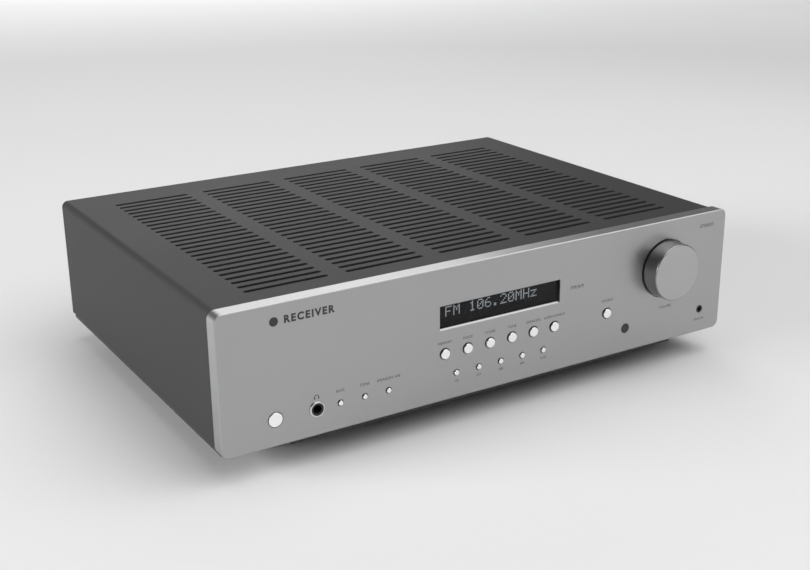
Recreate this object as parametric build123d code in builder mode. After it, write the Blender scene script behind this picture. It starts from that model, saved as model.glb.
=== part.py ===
from build123d import *
import os

# Stereo receiver, full component width.
# X runs to the right seen from the front, Y runs from the face to the back, Z is up. All sizes are millimetres.
# The origin is the centre of the footprint, on the surface the rubber pads stand on.

os.makedirs("parts", exist_ok=True)

# ---- Overall sizes --------------------------------------------------------------------------------------
panel_width = 430.0  # front panel, the widest piece
panel_height = 98.0
panel_depth = 10.5  # thickness of the front panel at its rim
body_depth = 310.0  # face of the front panel to the rear edge of the cover
knob_projection = 14.0  # volume knob in front of the face
terminal_projection = 14.0  # speaker posts behind the rear edge of the cover
foot_height = 17.5  # rubber pad included
base_drop = 2.5  # underside of the base below the lower edge of the front panel

# ---- Sheet metal and fits -------------------------------------------------------------------------------
sheet = 1.2  # thickness of every folded steel sheet
sheet_gap = 0.3  # play between the cover and what it slides over
cover_side_step = 2.5  # the panel stands proud of the cover at each side
cover_top_step = 1.0  # and at the top
cover_side_rise = 1.8  # lower edge of the cover's sides above the panel's lower edge
cover_fold_radius = 5.0
flange_length = 12.0  # folded flanges of the subframe and the rear panel
part_gap = 0.1  # play round a fixed piece that passes through a hole
run_gap = 0.05  # radial running clearance of a shaft or a turning cap
lift_gap = 0.05  # gap between a button's collar and the panel behind which it waits

# ---- Front panel ----------------------------------------------------------------------------------------
panel_corner_radius = 6.0
panel_edge_break = 0.6
panel_face_thickness = 4.0  # metal left in front of the pocket
panel_rim = 6.0  # metal left round the pocket
panel_boss_radius = 4.0
panel_boss_side = 11.0  # outer bosses from the panel's side edges
panel_boss_end = 15.0  # bosses from the panel's upper and lower edges

display_offset = 1.0  # centre of the display to the right of the panel's centre
display_width = 103.5
display_height = 17.8
display_top_margin = 27.5  # top of the display opening below the panel's top edge
display_recess = 2.0
display_corner = 0.5
window_flange = 3.0
window_back = 6.0  # back of the window behind the face
vfd_width = 112.0
vfd_height = 24.0
vfd_thickness = 7.0

small_row_height = 19.0  # small buttons and the jack above the panel's lower edge
function_row_share = 0.48  # place of the function row between the small row and the display
function_count = 6
preset_count = 5
mode_count = 3
button_pitch = 19.0
mode_pitch = 18.5

power_edge = 38.4  # power button from the panel's left edge
jack_from_power = 30.0
mode_from_jack = 17.6
knob_edge = 60.8  # knob axis from the panel's right edge
knob_top_margin = 37.6  # knob axis below the panel's top edge
source_from_knob = 56.2
ir_from_knob = 37.2
aux_edge = 21.4  # auxiliary socket from the panel's right edge

# ---- Buttons: cap radius, gap in the panel, projection, travel ------------------------------------------
power_cap = 5.0
power_gap = 0.5
power_projection = 0.5
power_travel = 1.2
function_cap = 3.6
function_gap = 0.8
function_projection = 1.2
preset_cap = 1.95
mode_cap = 1.75
small_gap = 0.6
small_projection = 0.9
key_travel = 0.8
collar_overlap = 1.0  # collar radius beyond the hole in the panel
collar_thickness = 1.5
cap_edge_break = 0.35
stem_radius = 1.4
stem_hole_gap = 0.8
switch_size = 6.0
switch_height = 3.5
plunger_radius = 1.75
plunger_height = 1.5
plunger_gap = 0.1  # left between the stem and the plunger when the key is fully pressed

# ---- Volume control -------------------------------------------------------------------------------------
knob_radius = 22.5
knob_front_radius = 22.0
knob_edge_break = 0.9
knob_front_wall = 3.0
knob_skirt_wall = 2.5
knob_hub_radius = 7.5
knob_hub_clearance = 1.0  # knob hub in front of the encoder's bush
knob_pocket_gap = 0.8  # ring-shaped gap round the knob
knob_pocket_depth = 2.5
knob_floor_gap = 0.5  # knob skirt above the floor of its pocket
knob_pad_radius = 27.0
knob_pad_back = 6.0  # back of the thick pad behind the knob
shaft_radius = 3.0
shaft_flat = 1.5  # depth of the flat on the shaft's end
shaft_fit = 0.02
bush_radius = 4.5
bush_length = 7.5
encoder_width = 16.0
encoder_height = 14.0
nut_radius = 7.0
nut_thickness = 2.2

# ---- Sockets in the face --------------------------------------------------------------------------------
jack_bore = 3.2  # takes a 6.35 mm plug
jack_bore_length = 34.0
jack_bush_radius = 4.4
jack_front = 0.8  # bush in front of the face
jack_body = 15.0
jack_wall = 3.0
ring_radius = 5.5
ring_thickness = 1.1
aux_bore = 1.8  # takes a 3.5 mm plug
aux_bore_length = 14.5
aux_bush_radius = 3.1
aux_body_width = 11.0
aux_body_height = 9.0
ir_radius = 3.8
ir_collar = 5.0

# ---- Front board and subframe ---------------------------------------------------------------------------
board_thickness = 1.6
board_edge = 16.0  # control board inside the panel's edges
frame_cut_gap = 2.0  # room round what passes through the subframe
standoff_radius = 2.8

# ---- Base, feet and screws ------------------------------------------------------------------------------
base_side_height = 16.0
base_lip_width = 330.0  # strip of the base that shows under the front panel
base_lip_setback = 2.0
foot_radius = 22.0
foot_top_radius = 20.0
foot_pad_radius = 17.0
foot_pad_thickness = 1.5
foot_side_inset = 50.0  # foot centre from the panel's side edge
foot_front_inset = 60.0  # foot centre behind the face
foot_rear_inset = 45.0
foot_recess_radius = 8.0
foot_floor = 4.0  # plastic left under the base where the foot's screw clamps it
screw_head_radius = 3.0
screw_head_height = 1.8
screw_radius = 1.4
screw_length = 8.0
screw_hole_gap = 0.15
cover_lip_height = 12.0
cover_screw_count = 5
cover_screw_margin = 24.0

# ---- Vents in the cover ---------------------------------------------------------------------------------
vent_columns = 5
vent_slot_length = 61.5
vent_slot_width = 4.0
vent_row_pitch = 9.7
vent_side_margin = 32.5  # outer slots from the cover's side
vent_front_margin = 32.0  # first row behind the face
vent_rear_margin = 36.0  # last row before the cover's rear edge

# ---- Inside ---------------------------------------------------------------------------------------------
main_board_lift = 6.0
main_board_front = 50.0
main_board_rear = 22.0
main_board_edge = 10.0
transformer_radius = 57.0
transformer_hole = 20.0
transformer_height = 46.0
transformer_round = 9.0
transformer_side = 18.0  # winding from the base's side wall
transformer_front = 58.0  # winding behind the face
transformer_board_gap = 8.0
clamp_radius = 34.0
clamp_thickness = 2.0
clamp_bolt_radius = 4.0
clamp_bolt_head = 6.5
clamp_bolt_head_height = 5.0
sink_headroom = 11.0  # free height above the heat sink
sink_plate = 6.0
sink_fin_length = 30.0
sink_fin = 2.0
sink_fin_pitch = 9.0
sink_end_margin = 30.0
sink_rear_room = 86.0  # heat sink's plate in front of the rear edge of the cover
transistor_count = 4
transistor_width = 16.0
transistor_height = 21.0
transistor_thickness = 5.0
transistor_lift = 14.0
capacitor_radius = 15.0
capacitor_height = 42.0
capacitor_spacing = 36.0
capacitor_front = 24.0  # capacitor centres behind the main board's front edge
ribbon_width = 40.0
ribbon_thickness = 0.9
ribbon_bend = 5.0
ribbon_height = 24.0  # ribbon above the main board
ribbon_run = 20.0  # ribbon's landing behind the main board's front edge
ribbon_offset = 62.0

# ---- Rear -----------------------------------------------------------------------------------------------
inlet_edge = 36.0  # mains inlet from the side of the base
inlet_share = 27 / 63  # place of the mains inlet between the base and the mains switch
inlet_flange_width = 31.0
inlet_flange_height = 24.0
inlet_flange = 1.5
inlet_cavity_width = 24.4
inlet_cavity_height = 16.6
inlet_cavity_depth = 16.5
inlet_wall = 1.5
inlet_pin_width = 2.0
inlet_pin_height = 4.0
inlet_pin_length = 12.5
inlet_pin_spacing = 14.0
inlet_pin_drop = 1.2  # live and neutral pins below the centre of the inlet
inlet_earth_rise = 3.3
switch_drop = 37.5  # mains switch below the panel's upper edge
rocker_radius = 8.5
rocker_width = 12.5
rocker_depth = 3.2  # rocker's axis in front of the rear panel's outer face
rocker_face = 5.6  # distance of the rocker's two faces from its axis
rocker_face_angle = 9.0  # half of the angle between the two faces, and the rest tilt
rocker_gap = 0.4
housing_flange = 2.5
housing_lip = 1.2
housing_depth = 16.0
terminal_count = 4
terminal_pitch = 19.0
terminal_offset = -72.0  # centre of the speaker terminals from the middle
terminal_height = 28.0
terminal_plate = 3.0
terminal_plate_height = 25.0
terminal_body = 9.0
terminal_end_margin = 13.0
post_radius = 3.5
post_bore = 2.05  # takes a 4 mm plug
post_bore_length = 11.0
post_tail = 6.0
post_cap_radius = 7.4
post_cap_gap = 0.4
post_flute_radius = 1.1
post_flute_count = 12
phono_columns = 4
phono_from_aerial = 97.0  # centre of the phono sockets to the left of the aerial socket, seen from the front
phono_pitch = 20.0
phono_row_pitch = 18.0
phono_height = 31.0  # lower row above the base
phono_body = 14.0
phono_body_depth = 10.0
phono_shell_radius = 4.15
phono_shell_wall = 0.5
phono_shell_length = 9.0
phono_flange_radius = 6.0
phono_flange = 0.8
phono_bore = 1.7  # takes a 3.2 mm pin
phono_bore_length = 8.0
input_board_margin = 6.0
tuner_edge = 62.0  # tuner from the side of the base
tuner_height = 50.0
tuner_width = 46.0
tuner_depth = 38.0
tuner_box_height = 18.0
aerial_radius = 4.75
aerial_length = 9.0
aerial_nut_radius = 7.0
aerial_nut = 2.0
aerial_core = 3.2
aerial_core_depth = 1.0

# ---- Places that follow from the sizes ------------------------------------------------------------------
overall_depth = knob_projection + body_depth + terminal_projection
front_y = knob_projection - overall_depth / 2
rear_y = front_y + body_depth
base_z = foot_height
floor_z = base_z + sheet  # top of the base's sheet
panel_z = base_z + base_drop
panel_top_z = panel_z + panel_height
cover_half = panel_width / 2 - cover_side_step
cover_top_z = panel_top_z - cover_top_step
cover_side_z = panel_z + cover_side_rise
cover_front_y = front_y + panel_depth
roof_z = cover_top_z - sheet - sheet_gap  # highest that sheet metal under the cover reaches
base_half = cover_half - sheet - sheet_gap
inner_half = base_half - sheet
rear_face_y = rear_y - sheet  # outer face of the rear panel, behind the cover's lip
rear_inner_y = rear_face_y - sheet
frame_back_y = cover_front_y + sheet

display_z = panel_height - display_top_margin - display_height / 2
function_row_height = small_row_height + function_row_share * (
    display_z - display_height / 2 - small_row_height
)
knob_z = panel_height - knob_top_margin
power_x = power_edge - panel_width / 2
jack_x = power_x + jack_from_power
knob_x = panel_width / 2 - knob_edge
source_x = knob_x - source_from_knob
ir_x = knob_x - ir_from_knob
aux_x = panel_width / 2 - aux_edge

# Depths behind the face of what stands behind the front panel.
collar_front = panel_face_thickness + lift_gap
stem_back = panel_depth + sheet + 1.3
switch_front = stem_back + power_travel + plunger_gap + plunger_height
board_front = switch_front + switch_height
board_back = board_front + board_thickness
board_top_z = panel_top_z - board_edge
board_bottom_z = panel_z + board_edge / 2

# Cap radius, gap, projection and travel of each kind of button.
power_kind = (power_cap, power_gap, power_projection, power_travel)
function_kind = (function_cap, function_gap, function_projection, key_travel)
preset_kind = (preset_cap, small_gap, small_projection, key_travel)
mode_kind = (mode_cap, small_gap, small_projection, key_travel)

# Name, x, height above the panel's lower edge and kind of each button.
buttons = [
    ("power_button", power_x, small_row_height, *power_kind),
    ("source_button", source_x, function_row_height, *function_kind),
]
for index in range(mode_count):
    mode_x = jack_x + mode_from_jack + index * mode_pitch
    buttons.append((f"mode_button_{index + 1}", mode_x, small_row_height, *mode_kind))
for index in range(function_count):
    function_x = display_offset + (index - (function_count - 1) / 2) * button_pitch
    buttons.append((f"function_button_{index + 1}", function_x, function_row_height, *function_kind))
for index in range(preset_count):
    preset_x = display_offset + (index - (preset_count - 1) / 2) * button_pitch
    buttons.append((f"preset_button_{index + 1}", preset_x, small_row_height, *preset_kind))


def at_y(y):
    """Drawing plane at this Y, seen from the front: drawn y is Z, and a negative extrusion goes back."""
    return Plane.XZ.offset(-y)


def behind_face(depth):
    """Drawing plane parallel to the face, this far behind it."""
    return at_y(front_y + depth)


def on_panel(x, height):
    """A point drawn on the panel, from its height above the panel's lower edge."""
    return (x, panel_z + height)


def save(piece, name):
    """Label a finished piece and write it as one STEP file."""
    piece.part.label = name
    export_step(piece.part, f"parts/{name}.step")


# ---- Front panel ----------------------------------------------------------------------------------------
panel_centre_z = panel_z + panel_height / 2
boss_x = panel_width / 2 - panel_boss_side
boss_z = panel_height / 2 - panel_boss_end
boss_places = [(x, panel_centre_z + z) for x in (-boss_x, boss_x) for z in (-boss_z, boss_z)]
boss_places.append((0.0, panel_centre_z + boss_z))
screw_hole_radius = screw_radius + screw_hole_gap

with BuildPart() as front_panel:
    with BuildSketch(behind_face(0)):
        with Locations((0, panel_centre_z)):
            RectangleRounded(panel_width, panel_height, panel_corner_radius)
    extrude(amount=-panel_depth)
    front_edges = front_panel.faces().sort_by(Axis.Y)[0].edges()
    chamfer(front_edges, length=panel_edge_break)
    with BuildSketch(behind_face(panel_depth)):
        with Locations((0, panel_centre_z)):
            Rectangle(panel_width - 2 * panel_rim, panel_height - 2 * panel_rim)
        with Locations(on_panel(knob_x, knob_z)):
            Circle(knob_pad_radius, mode=Mode.SUBTRACT)
        with Locations(*boss_places):
            Circle(panel_boss_radius, mode=Mode.SUBTRACT)
    extrude(amount=panel_depth - panel_face_thickness, mode=Mode.SUBTRACT)
    # Back of the thick pad behind the knob.
    with BuildSketch(behind_face(panel_depth)):
        with Locations(on_panel(knob_x, knob_z)):
            Circle(knob_pad_radius)
    extrude(amount=panel_depth - knob_pad_back, mode=Mode.SUBTRACT)
    with BuildSketch(behind_face(0)):
        with Locations(on_panel(display_offset, display_z)):
            RectangleRounded(display_width, display_height, display_corner)
        for _, x, height, cap, gap, _, _ in buttons:
            with Locations(on_panel(x, height)):
                Circle(cap + gap)
        with Locations(on_panel(jack_x, small_row_height)):
            Circle(jack_bush_radius + part_gap)
        with Locations(on_panel(aux_x, small_row_height)):
            Circle(aux_bush_radius + part_gap)
        with Locations(on_panel(ir_x, small_row_height)):
            Circle(ir_radius + part_gap)
        with Locations(on_panel(knob_x, knob_z)):
            Circle(bush_radius + part_gap)
    extrude(amount=-panel_depth, mode=Mode.SUBTRACT)
    with BuildSketch(behind_face(0)):
        with Locations(on_panel(knob_x, knob_z)):
            Circle(knob_radius + knob_pocket_gap)
    extrude(amount=-knob_pocket_depth, mode=Mode.SUBTRACT)
    with BuildSketch(behind_face(panel_depth)):
        with Locations(*boss_places):
            Circle(screw_radius + part_gap)
    extrude(amount=screw_length - sheet, mode=Mode.SUBTRACT)
save(front_panel, "front_panel")

# ---- Subframe behind the front panel --------------------------------------------------------------------
frame_half = inner_half - sheet_gap
frame_centre_z = (floor_z + roof_z) / 2
frame_height = roof_z - floor_z
flange_screw_x = frame_half * 2 / 3
flange_screw_columns = (-flange_screw_x, 0.0, flange_screw_x)
front_flange_screws = [(x, cover_front_y + flange_length * 0.6) for x in flange_screw_columns]
rear_flange_screws = [(x, rear_face_y - flange_length * 0.6) for x in flange_screw_columns]


def pan_outline(inset):
    """Draw the outline of the subframe and the rear panel: upper corners round inside the cover's folds."""
    width = 2 * (frame_half - inset)
    height = frame_height - 2 * inset
    with Locations((0, frame_centre_z)):
        RectangleRounded(width, height, cover_fold_radius - sheet - inset)
    with Locations((0, frame_centre_z - height / 4)):
        Rectangle(width, height / 2)


with BuildPart() as front_subframe:
    with BuildSketch(at_y(cover_front_y)):
        pan_outline(0)
    extrude(amount=-flange_length)
    with BuildSketch(at_y(frame_back_y)):
        pan_outline(sheet)
    extrude(amount=-flange_length, mode=Mode.SUBTRACT)
    with BuildSketch(at_y(cover_front_y)):
        with Locations(on_panel(display_offset, display_z)):
            Rectangle(vfd_width + 2 * frame_cut_gap, vfd_height + 2 * frame_cut_gap)
        for _, x, height, _, _, _, _ in buttons:
            with Locations(on_panel(x, height)):
                Circle(stem_radius + stem_hole_gap)
        with Locations(on_panel(jack_x, small_row_height)):
            Rectangle(jack_body + 2 * frame_cut_gap, jack_body + 2 * frame_cut_gap)
        with Locations(on_panel(aux_x, small_row_height)):
            Rectangle(aux_body_width + 2 * frame_cut_gap, aux_body_height + 2 * frame_cut_gap)
        with Locations(on_panel(ir_x, small_row_height)):
            Circle(ir_collar)
        with Locations(on_panel(knob_x, knob_z)):
            Rectangle(encoder_width + 2 * frame_cut_gap, encoder_height + 2 * frame_cut_gap)
        with Locations(*boss_places):
            Circle(screw_hole_radius)
    extrude(amount=-sheet, mode=Mode.SUBTRACT)
    with BuildSketch(Plane.XY.offset(floor_z)):
        with Locations(*front_flange_screws):
            Circle(screw_radius + part_gap)
    extrude(amount=sheet, mode=Mode.SUBTRACT)
save(front_subframe, "front_subframe")

# ---- Top cover: one sheet folded over the top and both sides, with a lip at the rear --------------------
cover_length = rear_y - cover_front_y
cover_side_height = cover_top_z - cover_side_z
vent_half = cover_half - vent_side_margin
vent_column_pitch = (2 * vent_half - vent_slot_length) / (vent_columns - 1)
vent_first_y = front_y + vent_front_margin
vent_last_y = rear_y - vent_rear_margin
vent_rows = 1 + round((vent_last_y - vent_first_y) / vent_row_pitch)
vent_row_step = (vent_last_y - vent_first_y) / (vent_rows - 1)
lip_z = cover_top_z - cover_lip_height
cover_screw_span = 2 * (frame_half - cover_screw_margin)
cover_screw_z = cover_top_z - cover_lip_height / 2
cover_screw_places = [
    (cover_screw_span * (index / (cover_screw_count - 1) - 0.5), cover_screw_z)
    for index in range(cover_screw_count)
]

with BuildPart() as top_cover:
    with BuildSketch(at_y(cover_front_y)):
        with Locations((0, (cover_top_z + cover_side_z) / 2)):
            Rectangle(2 * cover_half, cover_side_height)
    extrude(amount=-cover_length)
    fold_edges = top_cover.faces().sort_by(Axis.Z)[-1].edges().filter_by(Axis.Y)
    fillet(fold_edges, radius=cover_fold_radius)
    inner_radius = cover_fold_radius - sheet
    with BuildSketch(at_y(cover_front_y)) as cover_inside:
        with Locations((0, (cover_top_z + cover_side_z) / 2 - sheet)):
            Rectangle(2 * (cover_half - sheet), cover_side_height)
        inside_corners = cover_inside.vertices().group_by(Axis.Y)[-1]
        fillet(inside_corners, radius=inner_radius)
    extrude(amount=-(cover_length - sheet), mode=Mode.SUBTRACT)
    # Below the lip the rear is open.
    with BuildSketch(at_y(rear_y - sheet)):
        with Locations((0, (lip_z + cover_side_z) / 2)):
            Rectangle(2 * (cover_half - sheet), lip_z - cover_side_z)
    extrude(amount=-sheet, mode=Mode.SUBTRACT)
    with BuildSketch(at_y(rear_y - sheet)):
        with Locations(*cover_screw_places):
            Circle(screw_hole_radius)
    extrude(amount=-sheet, mode=Mode.SUBTRACT)
    with BuildSketch(Plane.XY.offset(cover_top_z)):
        with Locations((0, (vent_first_y + vent_last_y) / 2)):
            with GridLocations(vent_column_pitch, vent_row_step, vent_columns, vent_rows):
                SlotOverall(vent_slot_length, vent_slot_width)
    extrude(amount=-2 * sheet, mode=Mode.SUBTRACT)
save(top_cover, "top_cover")

# ---- Base tray ------------------------------------------------------------------------------------------
foot_x = panel_width / 2 - foot_side_inset
foot_front_y = front_y + foot_front_inset
foot_rear_y = rear_y - foot_rear_inset
foot_places = [(x, y) for x in (-foot_x, foot_x) for y in (foot_front_y, foot_rear_y)]

with BuildPart() as chassis_base:
    with BuildSketch(Plane.XY.offset(base_z)):
        with Locations((0, (cover_front_y + rear_face_y) / 2)):
            Rectangle(2 * base_half, rear_face_y - cover_front_y)
    extrude(amount=base_side_height)
    with BuildSketch(Plane.XY.offset(floor_z)):
        with Locations((0, (cover_front_y + rear_face_y) / 2)):
            Rectangle(2 * inner_half, rear_face_y - cover_front_y)
    extrude(amount=base_side_height, mode=Mode.SUBTRACT)
    # Tongue under the front panel, turned up to meet it.
    lip_front_y = front_y + base_lip_setback
    with BuildSketch(Plane.XY.offset(base_z)):
        with Locations((0, (lip_front_y + cover_front_y) / 2)):
            Rectangle(base_lip_width, cover_front_y - lip_front_y)
    extrude(amount=sheet)
    with BuildSketch(Plane.XY.offset(base_z)):
        with Locations((0, lip_front_y + sheet / 2)):
            Rectangle(base_lip_width, sheet)
    extrude(amount=base_drop)
    with BuildSketch(Plane.XY.offset(base_z)):
        with Locations(*foot_places, *front_flange_screws, *rear_flange_screws):
            Circle(screw_hole_radius)
    extrude(amount=sheet, mode=Mode.SUBTRACT)
save(chassis_base, "chassis_base")

# ---- Rear panel -----------------------------------------------------------------------------------------
inlet_x = inlet_edge - base_half
switch_z = panel_top_z - switch_drop
inlet_z = base_z + inlet_share * (switch_z - base_z)
switch_half_height = rocker_radius + rocker_gap + housing_flange - housing_lip
switch_half_width = rocker_width / 2 + rocker_gap + housing_flange - housing_lip
terminal_z = base_z + terminal_height
post_places = [
    (terminal_offset + (index - (terminal_count - 1) / 2) * terminal_pitch, terminal_z)
    for index in range(terminal_count)
]
aerial_x = base_half - tuner_edge
aerial_z = base_z + tuner_height
phono_x = aerial_x - phono_from_aerial
phono_z = base_z + phono_height
phono_places = [
    (phono_x + (column - (phono_columns - 1) / 2) * phono_pitch, phono_z + row * phono_row_pitch)
    for column in range(phono_columns)
    for row in range(2)
]
terminal_plate_width = (terminal_count - 1) * terminal_pitch + 2 * terminal_end_margin
terminal_body_width = terminal_plate_width - 2 * inlet_wall
terminal_body_height = terminal_plate_height - 2 * inlet_wall

with BuildPart() as rear_panel:
    with BuildSketch(at_y(rear_face_y)):
        pan_outline(0)
    extrude(amount=flange_length)
    with BuildSketch(at_y(rear_inner_y)):
        pan_outline(sheet)
    extrude(amount=flange_length, mode=Mode.SUBTRACT)
    with BuildSketch(at_y(rear_face_y)):
        with Locations((inlet_x, inlet_z)):
            Rectangle(
                inlet_cavity_width + 2 * inlet_wall + 2 * part_gap,
                inlet_cavity_height + 2 * inlet_wall + 2 * part_gap,
            )
        with Locations((inlet_x, switch_z)):
            Rectangle(2 * (switch_half_width + part_gap), 2 * (switch_half_height + part_gap))
        with Locations((terminal_offset, terminal_z)):
            Rectangle(terminal_body_width + 2 * part_gap, terminal_body_height + 2 * part_gap)
        with Locations(*phono_places):
            Circle(phono_shell_radius + part_gap)
        with Locations((aerial_x, aerial_z)):
            Circle(aerial_radius + part_gap)
        with Locations(*cover_screw_places):
            Circle(screw_hole_radius)
    extrude(amount=sheet, mode=Mode.SUBTRACT)
    with BuildSketch(Plane.XY.offset(floor_z)):
        with Locations(*rear_flange_screws):
            Circle(screw_radius + part_gap)
    extrude(amount=sheet, mode=Mode.SUBTRACT)
save(rear_panel, "rear_panel")

# ---- Feet and their rubber pads -------------------------------------------------------------------------
with BuildPart() as feet:
    for place in foot_places:
        with BuildSketch(Plane.XY.offset(foot_pad_thickness)):
            with Locations(place):
                Circle(foot_radius)
        with BuildSketch(Plane.XY.offset(base_z)):
            with Locations(place):
                Circle(foot_top_radius)
        loft()
    rims = feet.faces().group_by(Axis.Z)[0].edges()
    chamfer(rims, length=1.2)
    with BuildSketch(Plane.XY.offset(foot_pad_thickness)):
        with Locations(*foot_places):
            Circle(foot_recess_radius)
    extrude(amount=base_z - foot_pad_thickness - foot_floor, mode=Mode.SUBTRACT)
    with BuildSketch(Plane.XY.offset(base_z - foot_floor)):
        with Locations(*foot_places):
            Circle(screw_hole_radius)
    extrude(amount=foot_floor, mode=Mode.SUBTRACT)
save(feet, "feet")

with BuildPart() as foot_pads:
    with BuildSketch(Plane.XY):
        with Locations(*foot_places):
            Circle(foot_pad_radius)
            Circle(foot_recess_radius, mode=Mode.SUBTRACT)
    extrude(amount=foot_pad_thickness)
save(foot_pads, "foot_pads")

# ---- Case screws ----------------------------------------------------------------------------------------
with BuildPart() as case_screws:
    with BuildSketch(at_y(rear_y)):
        with Locations(*cover_screw_places):
            Circle(screw_head_radius)
    extrude(amount=-screw_head_height)
    with BuildSketch(at_y(rear_y)):
        with Locations(*cover_screw_places):
            Circle(screw_radius)
    extrude(amount=screw_length)
    with BuildSketch(at_y(frame_back_y)):
        with Locations(*boss_places):
            Circle(screw_head_radius)
    extrude(amount=-screw_head_height)
    with BuildSketch(at_y(frame_back_y)):
        with Locations(*boss_places):
            Circle(screw_radius)
    extrude(amount=screw_length - part_gap)
    with BuildSketch(Plane.XY.offset(base_z - screw_head_height)):
        with Locations(*front_flange_screws, *rear_flange_screws):
            Circle(screw_head_radius)
    extrude(amount=screw_head_height)
    with BuildSketch(Plane.XY.offset(base_z - foot_floor - screw_head_height)):
        with Locations(*foot_places):
            Circle(screw_head_radius)
    extrude(amount=screw_head_height)
    with BuildSketch(Plane.XY.offset(base_z)):
        with Locations(*front_flange_screws, *rear_flange_screws):
            Circle(screw_radius)
    extrude(amount=screw_length)
    with BuildSketch(Plane.XY.offset(base_z - foot_floor)):
        with Locations(*foot_places):
            Circle(screw_radius)
    extrude(amount=screw_length)
save(case_screws, "case_screws")

# ---- Display --------------------------------------------------------------------------------------------
with BuildPart() as display_window:
    with BuildSketch(behind_face(display_recess)):
        with Locations(on_panel(display_offset, display_z)):
            RectangleRounded(display_width - 2 * part_gap, display_height - 2 * part_gap, display_corner)
    extrude(amount=-(panel_face_thickness - display_recess))
    with BuildSketch(behind_face(panel_face_thickness)):
        with Locations(on_panel(display_offset, display_z)):
            Rectangle(display_width + 2 * window_flange, display_height + 2 * window_flange)
    extrude(amount=-(window_back - panel_face_thickness))
save(display_window, "display_window")

with BuildPart() as display_module:
    with BuildSketch(behind_face(window_back)):
        with Locations(on_panel(display_offset, display_z)):
            Rectangle(vfd_width, vfd_height)
    extrude(amount=-vfd_thickness)
    with BuildSketch(behind_face(window_back + vfd_thickness)):
        with Locations(on_panel(display_offset, display_z)):
            Rectangle(vfd_width - 2 * window_flange, vfd_height - 2 * window_flange)
    extrude(amount=-(board_front - window_back - vfd_thickness))
save(display_module, "display_module")

# ---- Volume control: encoder on the front board, its shaft and the knob ---------------------------------
bush_front = knob_pad_back - bush_length
hub_back = bush_front - knob_hub_clearance
knob_back = knob_pocket_depth - knob_floor_gap
shaft_front = knob_front_wall - knob_projection
shaft_back = (knob_pad_back + board_front) / 2

with BuildPart() as volume_encoder:
    with BuildSketch(behind_face(knob_pad_back)):
        with Locations(on_panel(knob_x, knob_z)):
            Rectangle(encoder_width, encoder_height)
    extrude(amount=-(board_front - knob_pad_back))
    with BuildSketch(behind_face(bush_front)):
        with Locations(on_panel(knob_x, knob_z)):
            Circle(bush_radius)
    extrude(amount=-bush_length)
    with BuildSketch(behind_face(bush_front)):
        with Locations(on_panel(knob_x, knob_z)):
            Circle(shaft_radius + run_gap)
    extrude(amount=-(shaft_back + lift_gap - bush_front), mode=Mode.SUBTRACT)
save(volume_encoder, "volume_encoder")

with BuildPart() as encoder_nut:
    with BuildSketch(behind_face(knob_pocket_depth - nut_thickness)):
        with Locations(on_panel(knob_x, knob_z)):
            RegularPolygon(nut_radius, 6)
            Circle(bush_radius + part_gap, mode=Mode.SUBTRACT)
    extrude(amount=-nut_thickness)
save(encoder_nut, "encoder_nut")

with BuildPart() as encoder_shaft:
    with BuildSketch(behind_face(hub_back)):
        with Locations(on_panel(knob_x, knob_z)):
            Circle(shaft_radius)
    extrude(amount=-(shaft_back - hub_back))
    with BuildSketch(behind_face(shaft_front)):
        with Locations(on_panel(knob_x, knob_z)):
            Circle(shaft_radius)
        with Locations(on_panel(knob_x, knob_z + 2 * shaft_radius - shaft_flat)):
            Rectangle(2 * shaft_radius, 2 * shaft_radius, mode=Mode.SUBTRACT)
    extrude(amount=-(hub_back - shaft_front))
save(encoder_shaft, "encoder_shaft")

with BuildPart() as volume_knob:
    with BuildSketch(behind_face(knob_back)):
        with Locations(on_panel(knob_x, knob_z)):
            Circle(knob_radius)
    with BuildSketch(behind_face(-knob_projection)):
        with Locations(on_panel(knob_x, knob_z)):
            Circle(knob_front_radius)
    loft()
    front_rim = volume_knob.faces().sort_by(Axis.Y)[0].edges()
    fillet(front_rim, radius=knob_edge_break)
    with BuildSketch(behind_face(knob_back)):
        with Locations(on_panel(knob_x, knob_z)):
            Circle(knob_front_radius - knob_skirt_wall)
    extrude(amount=knob_projection + knob_back - knob_front_wall, mode=Mode.SUBTRACT)
    with BuildSketch(behind_face(hub_back)):
        with Locations(on_panel(knob_x, knob_z)):
            Circle(knob_hub_radius)
    extrude(amount=hub_back - shaft_front)
    with BuildSketch(behind_face(hub_back)):
        with Locations(on_panel(knob_x, knob_z)):
            Circle(shaft_radius + shaft_fit)
        with Locations(on_panel(knob_x, knob_z + 2 * shaft_radius - shaft_flat + shaft_fit)):
            Rectangle(2 * shaft_radius + 2 * shaft_fit, 2 * shaft_radius, mode=Mode.SUBTRACT)
    extrude(amount=hub_back - shaft_front, mode=Mode.SUBTRACT)
save(volume_knob, "volume_knob")

# ---- Buttons, each a cap with a collar behind the panel and a stem --------------------------------------
for name, x, height, cap, gap, projection, _ in buttons:
    with BuildPart() as button:
        with BuildSketch(behind_face(-projection)):
            with Locations(on_panel(x, height)):
                Circle(cap)
        extrude(amount=-(projection + collar_front))
        cap_rim = button.faces().sort_by(Axis.Y)[0].edges()
        fillet(cap_rim, radius=cap_edge_break)
        with BuildSketch(behind_face(collar_front)):
            with Locations(on_panel(x, height)):
                Circle(cap + gap + collar_overlap)
        extrude(amount=-collar_thickness)
        with BuildSketch(behind_face(collar_front + collar_thickness)):
            with Locations(on_panel(x, height)):
                Circle(stem_radius)
        extrude(amount=-(stem_back - collar_front - collar_thickness))
    save(button, name)

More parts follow.
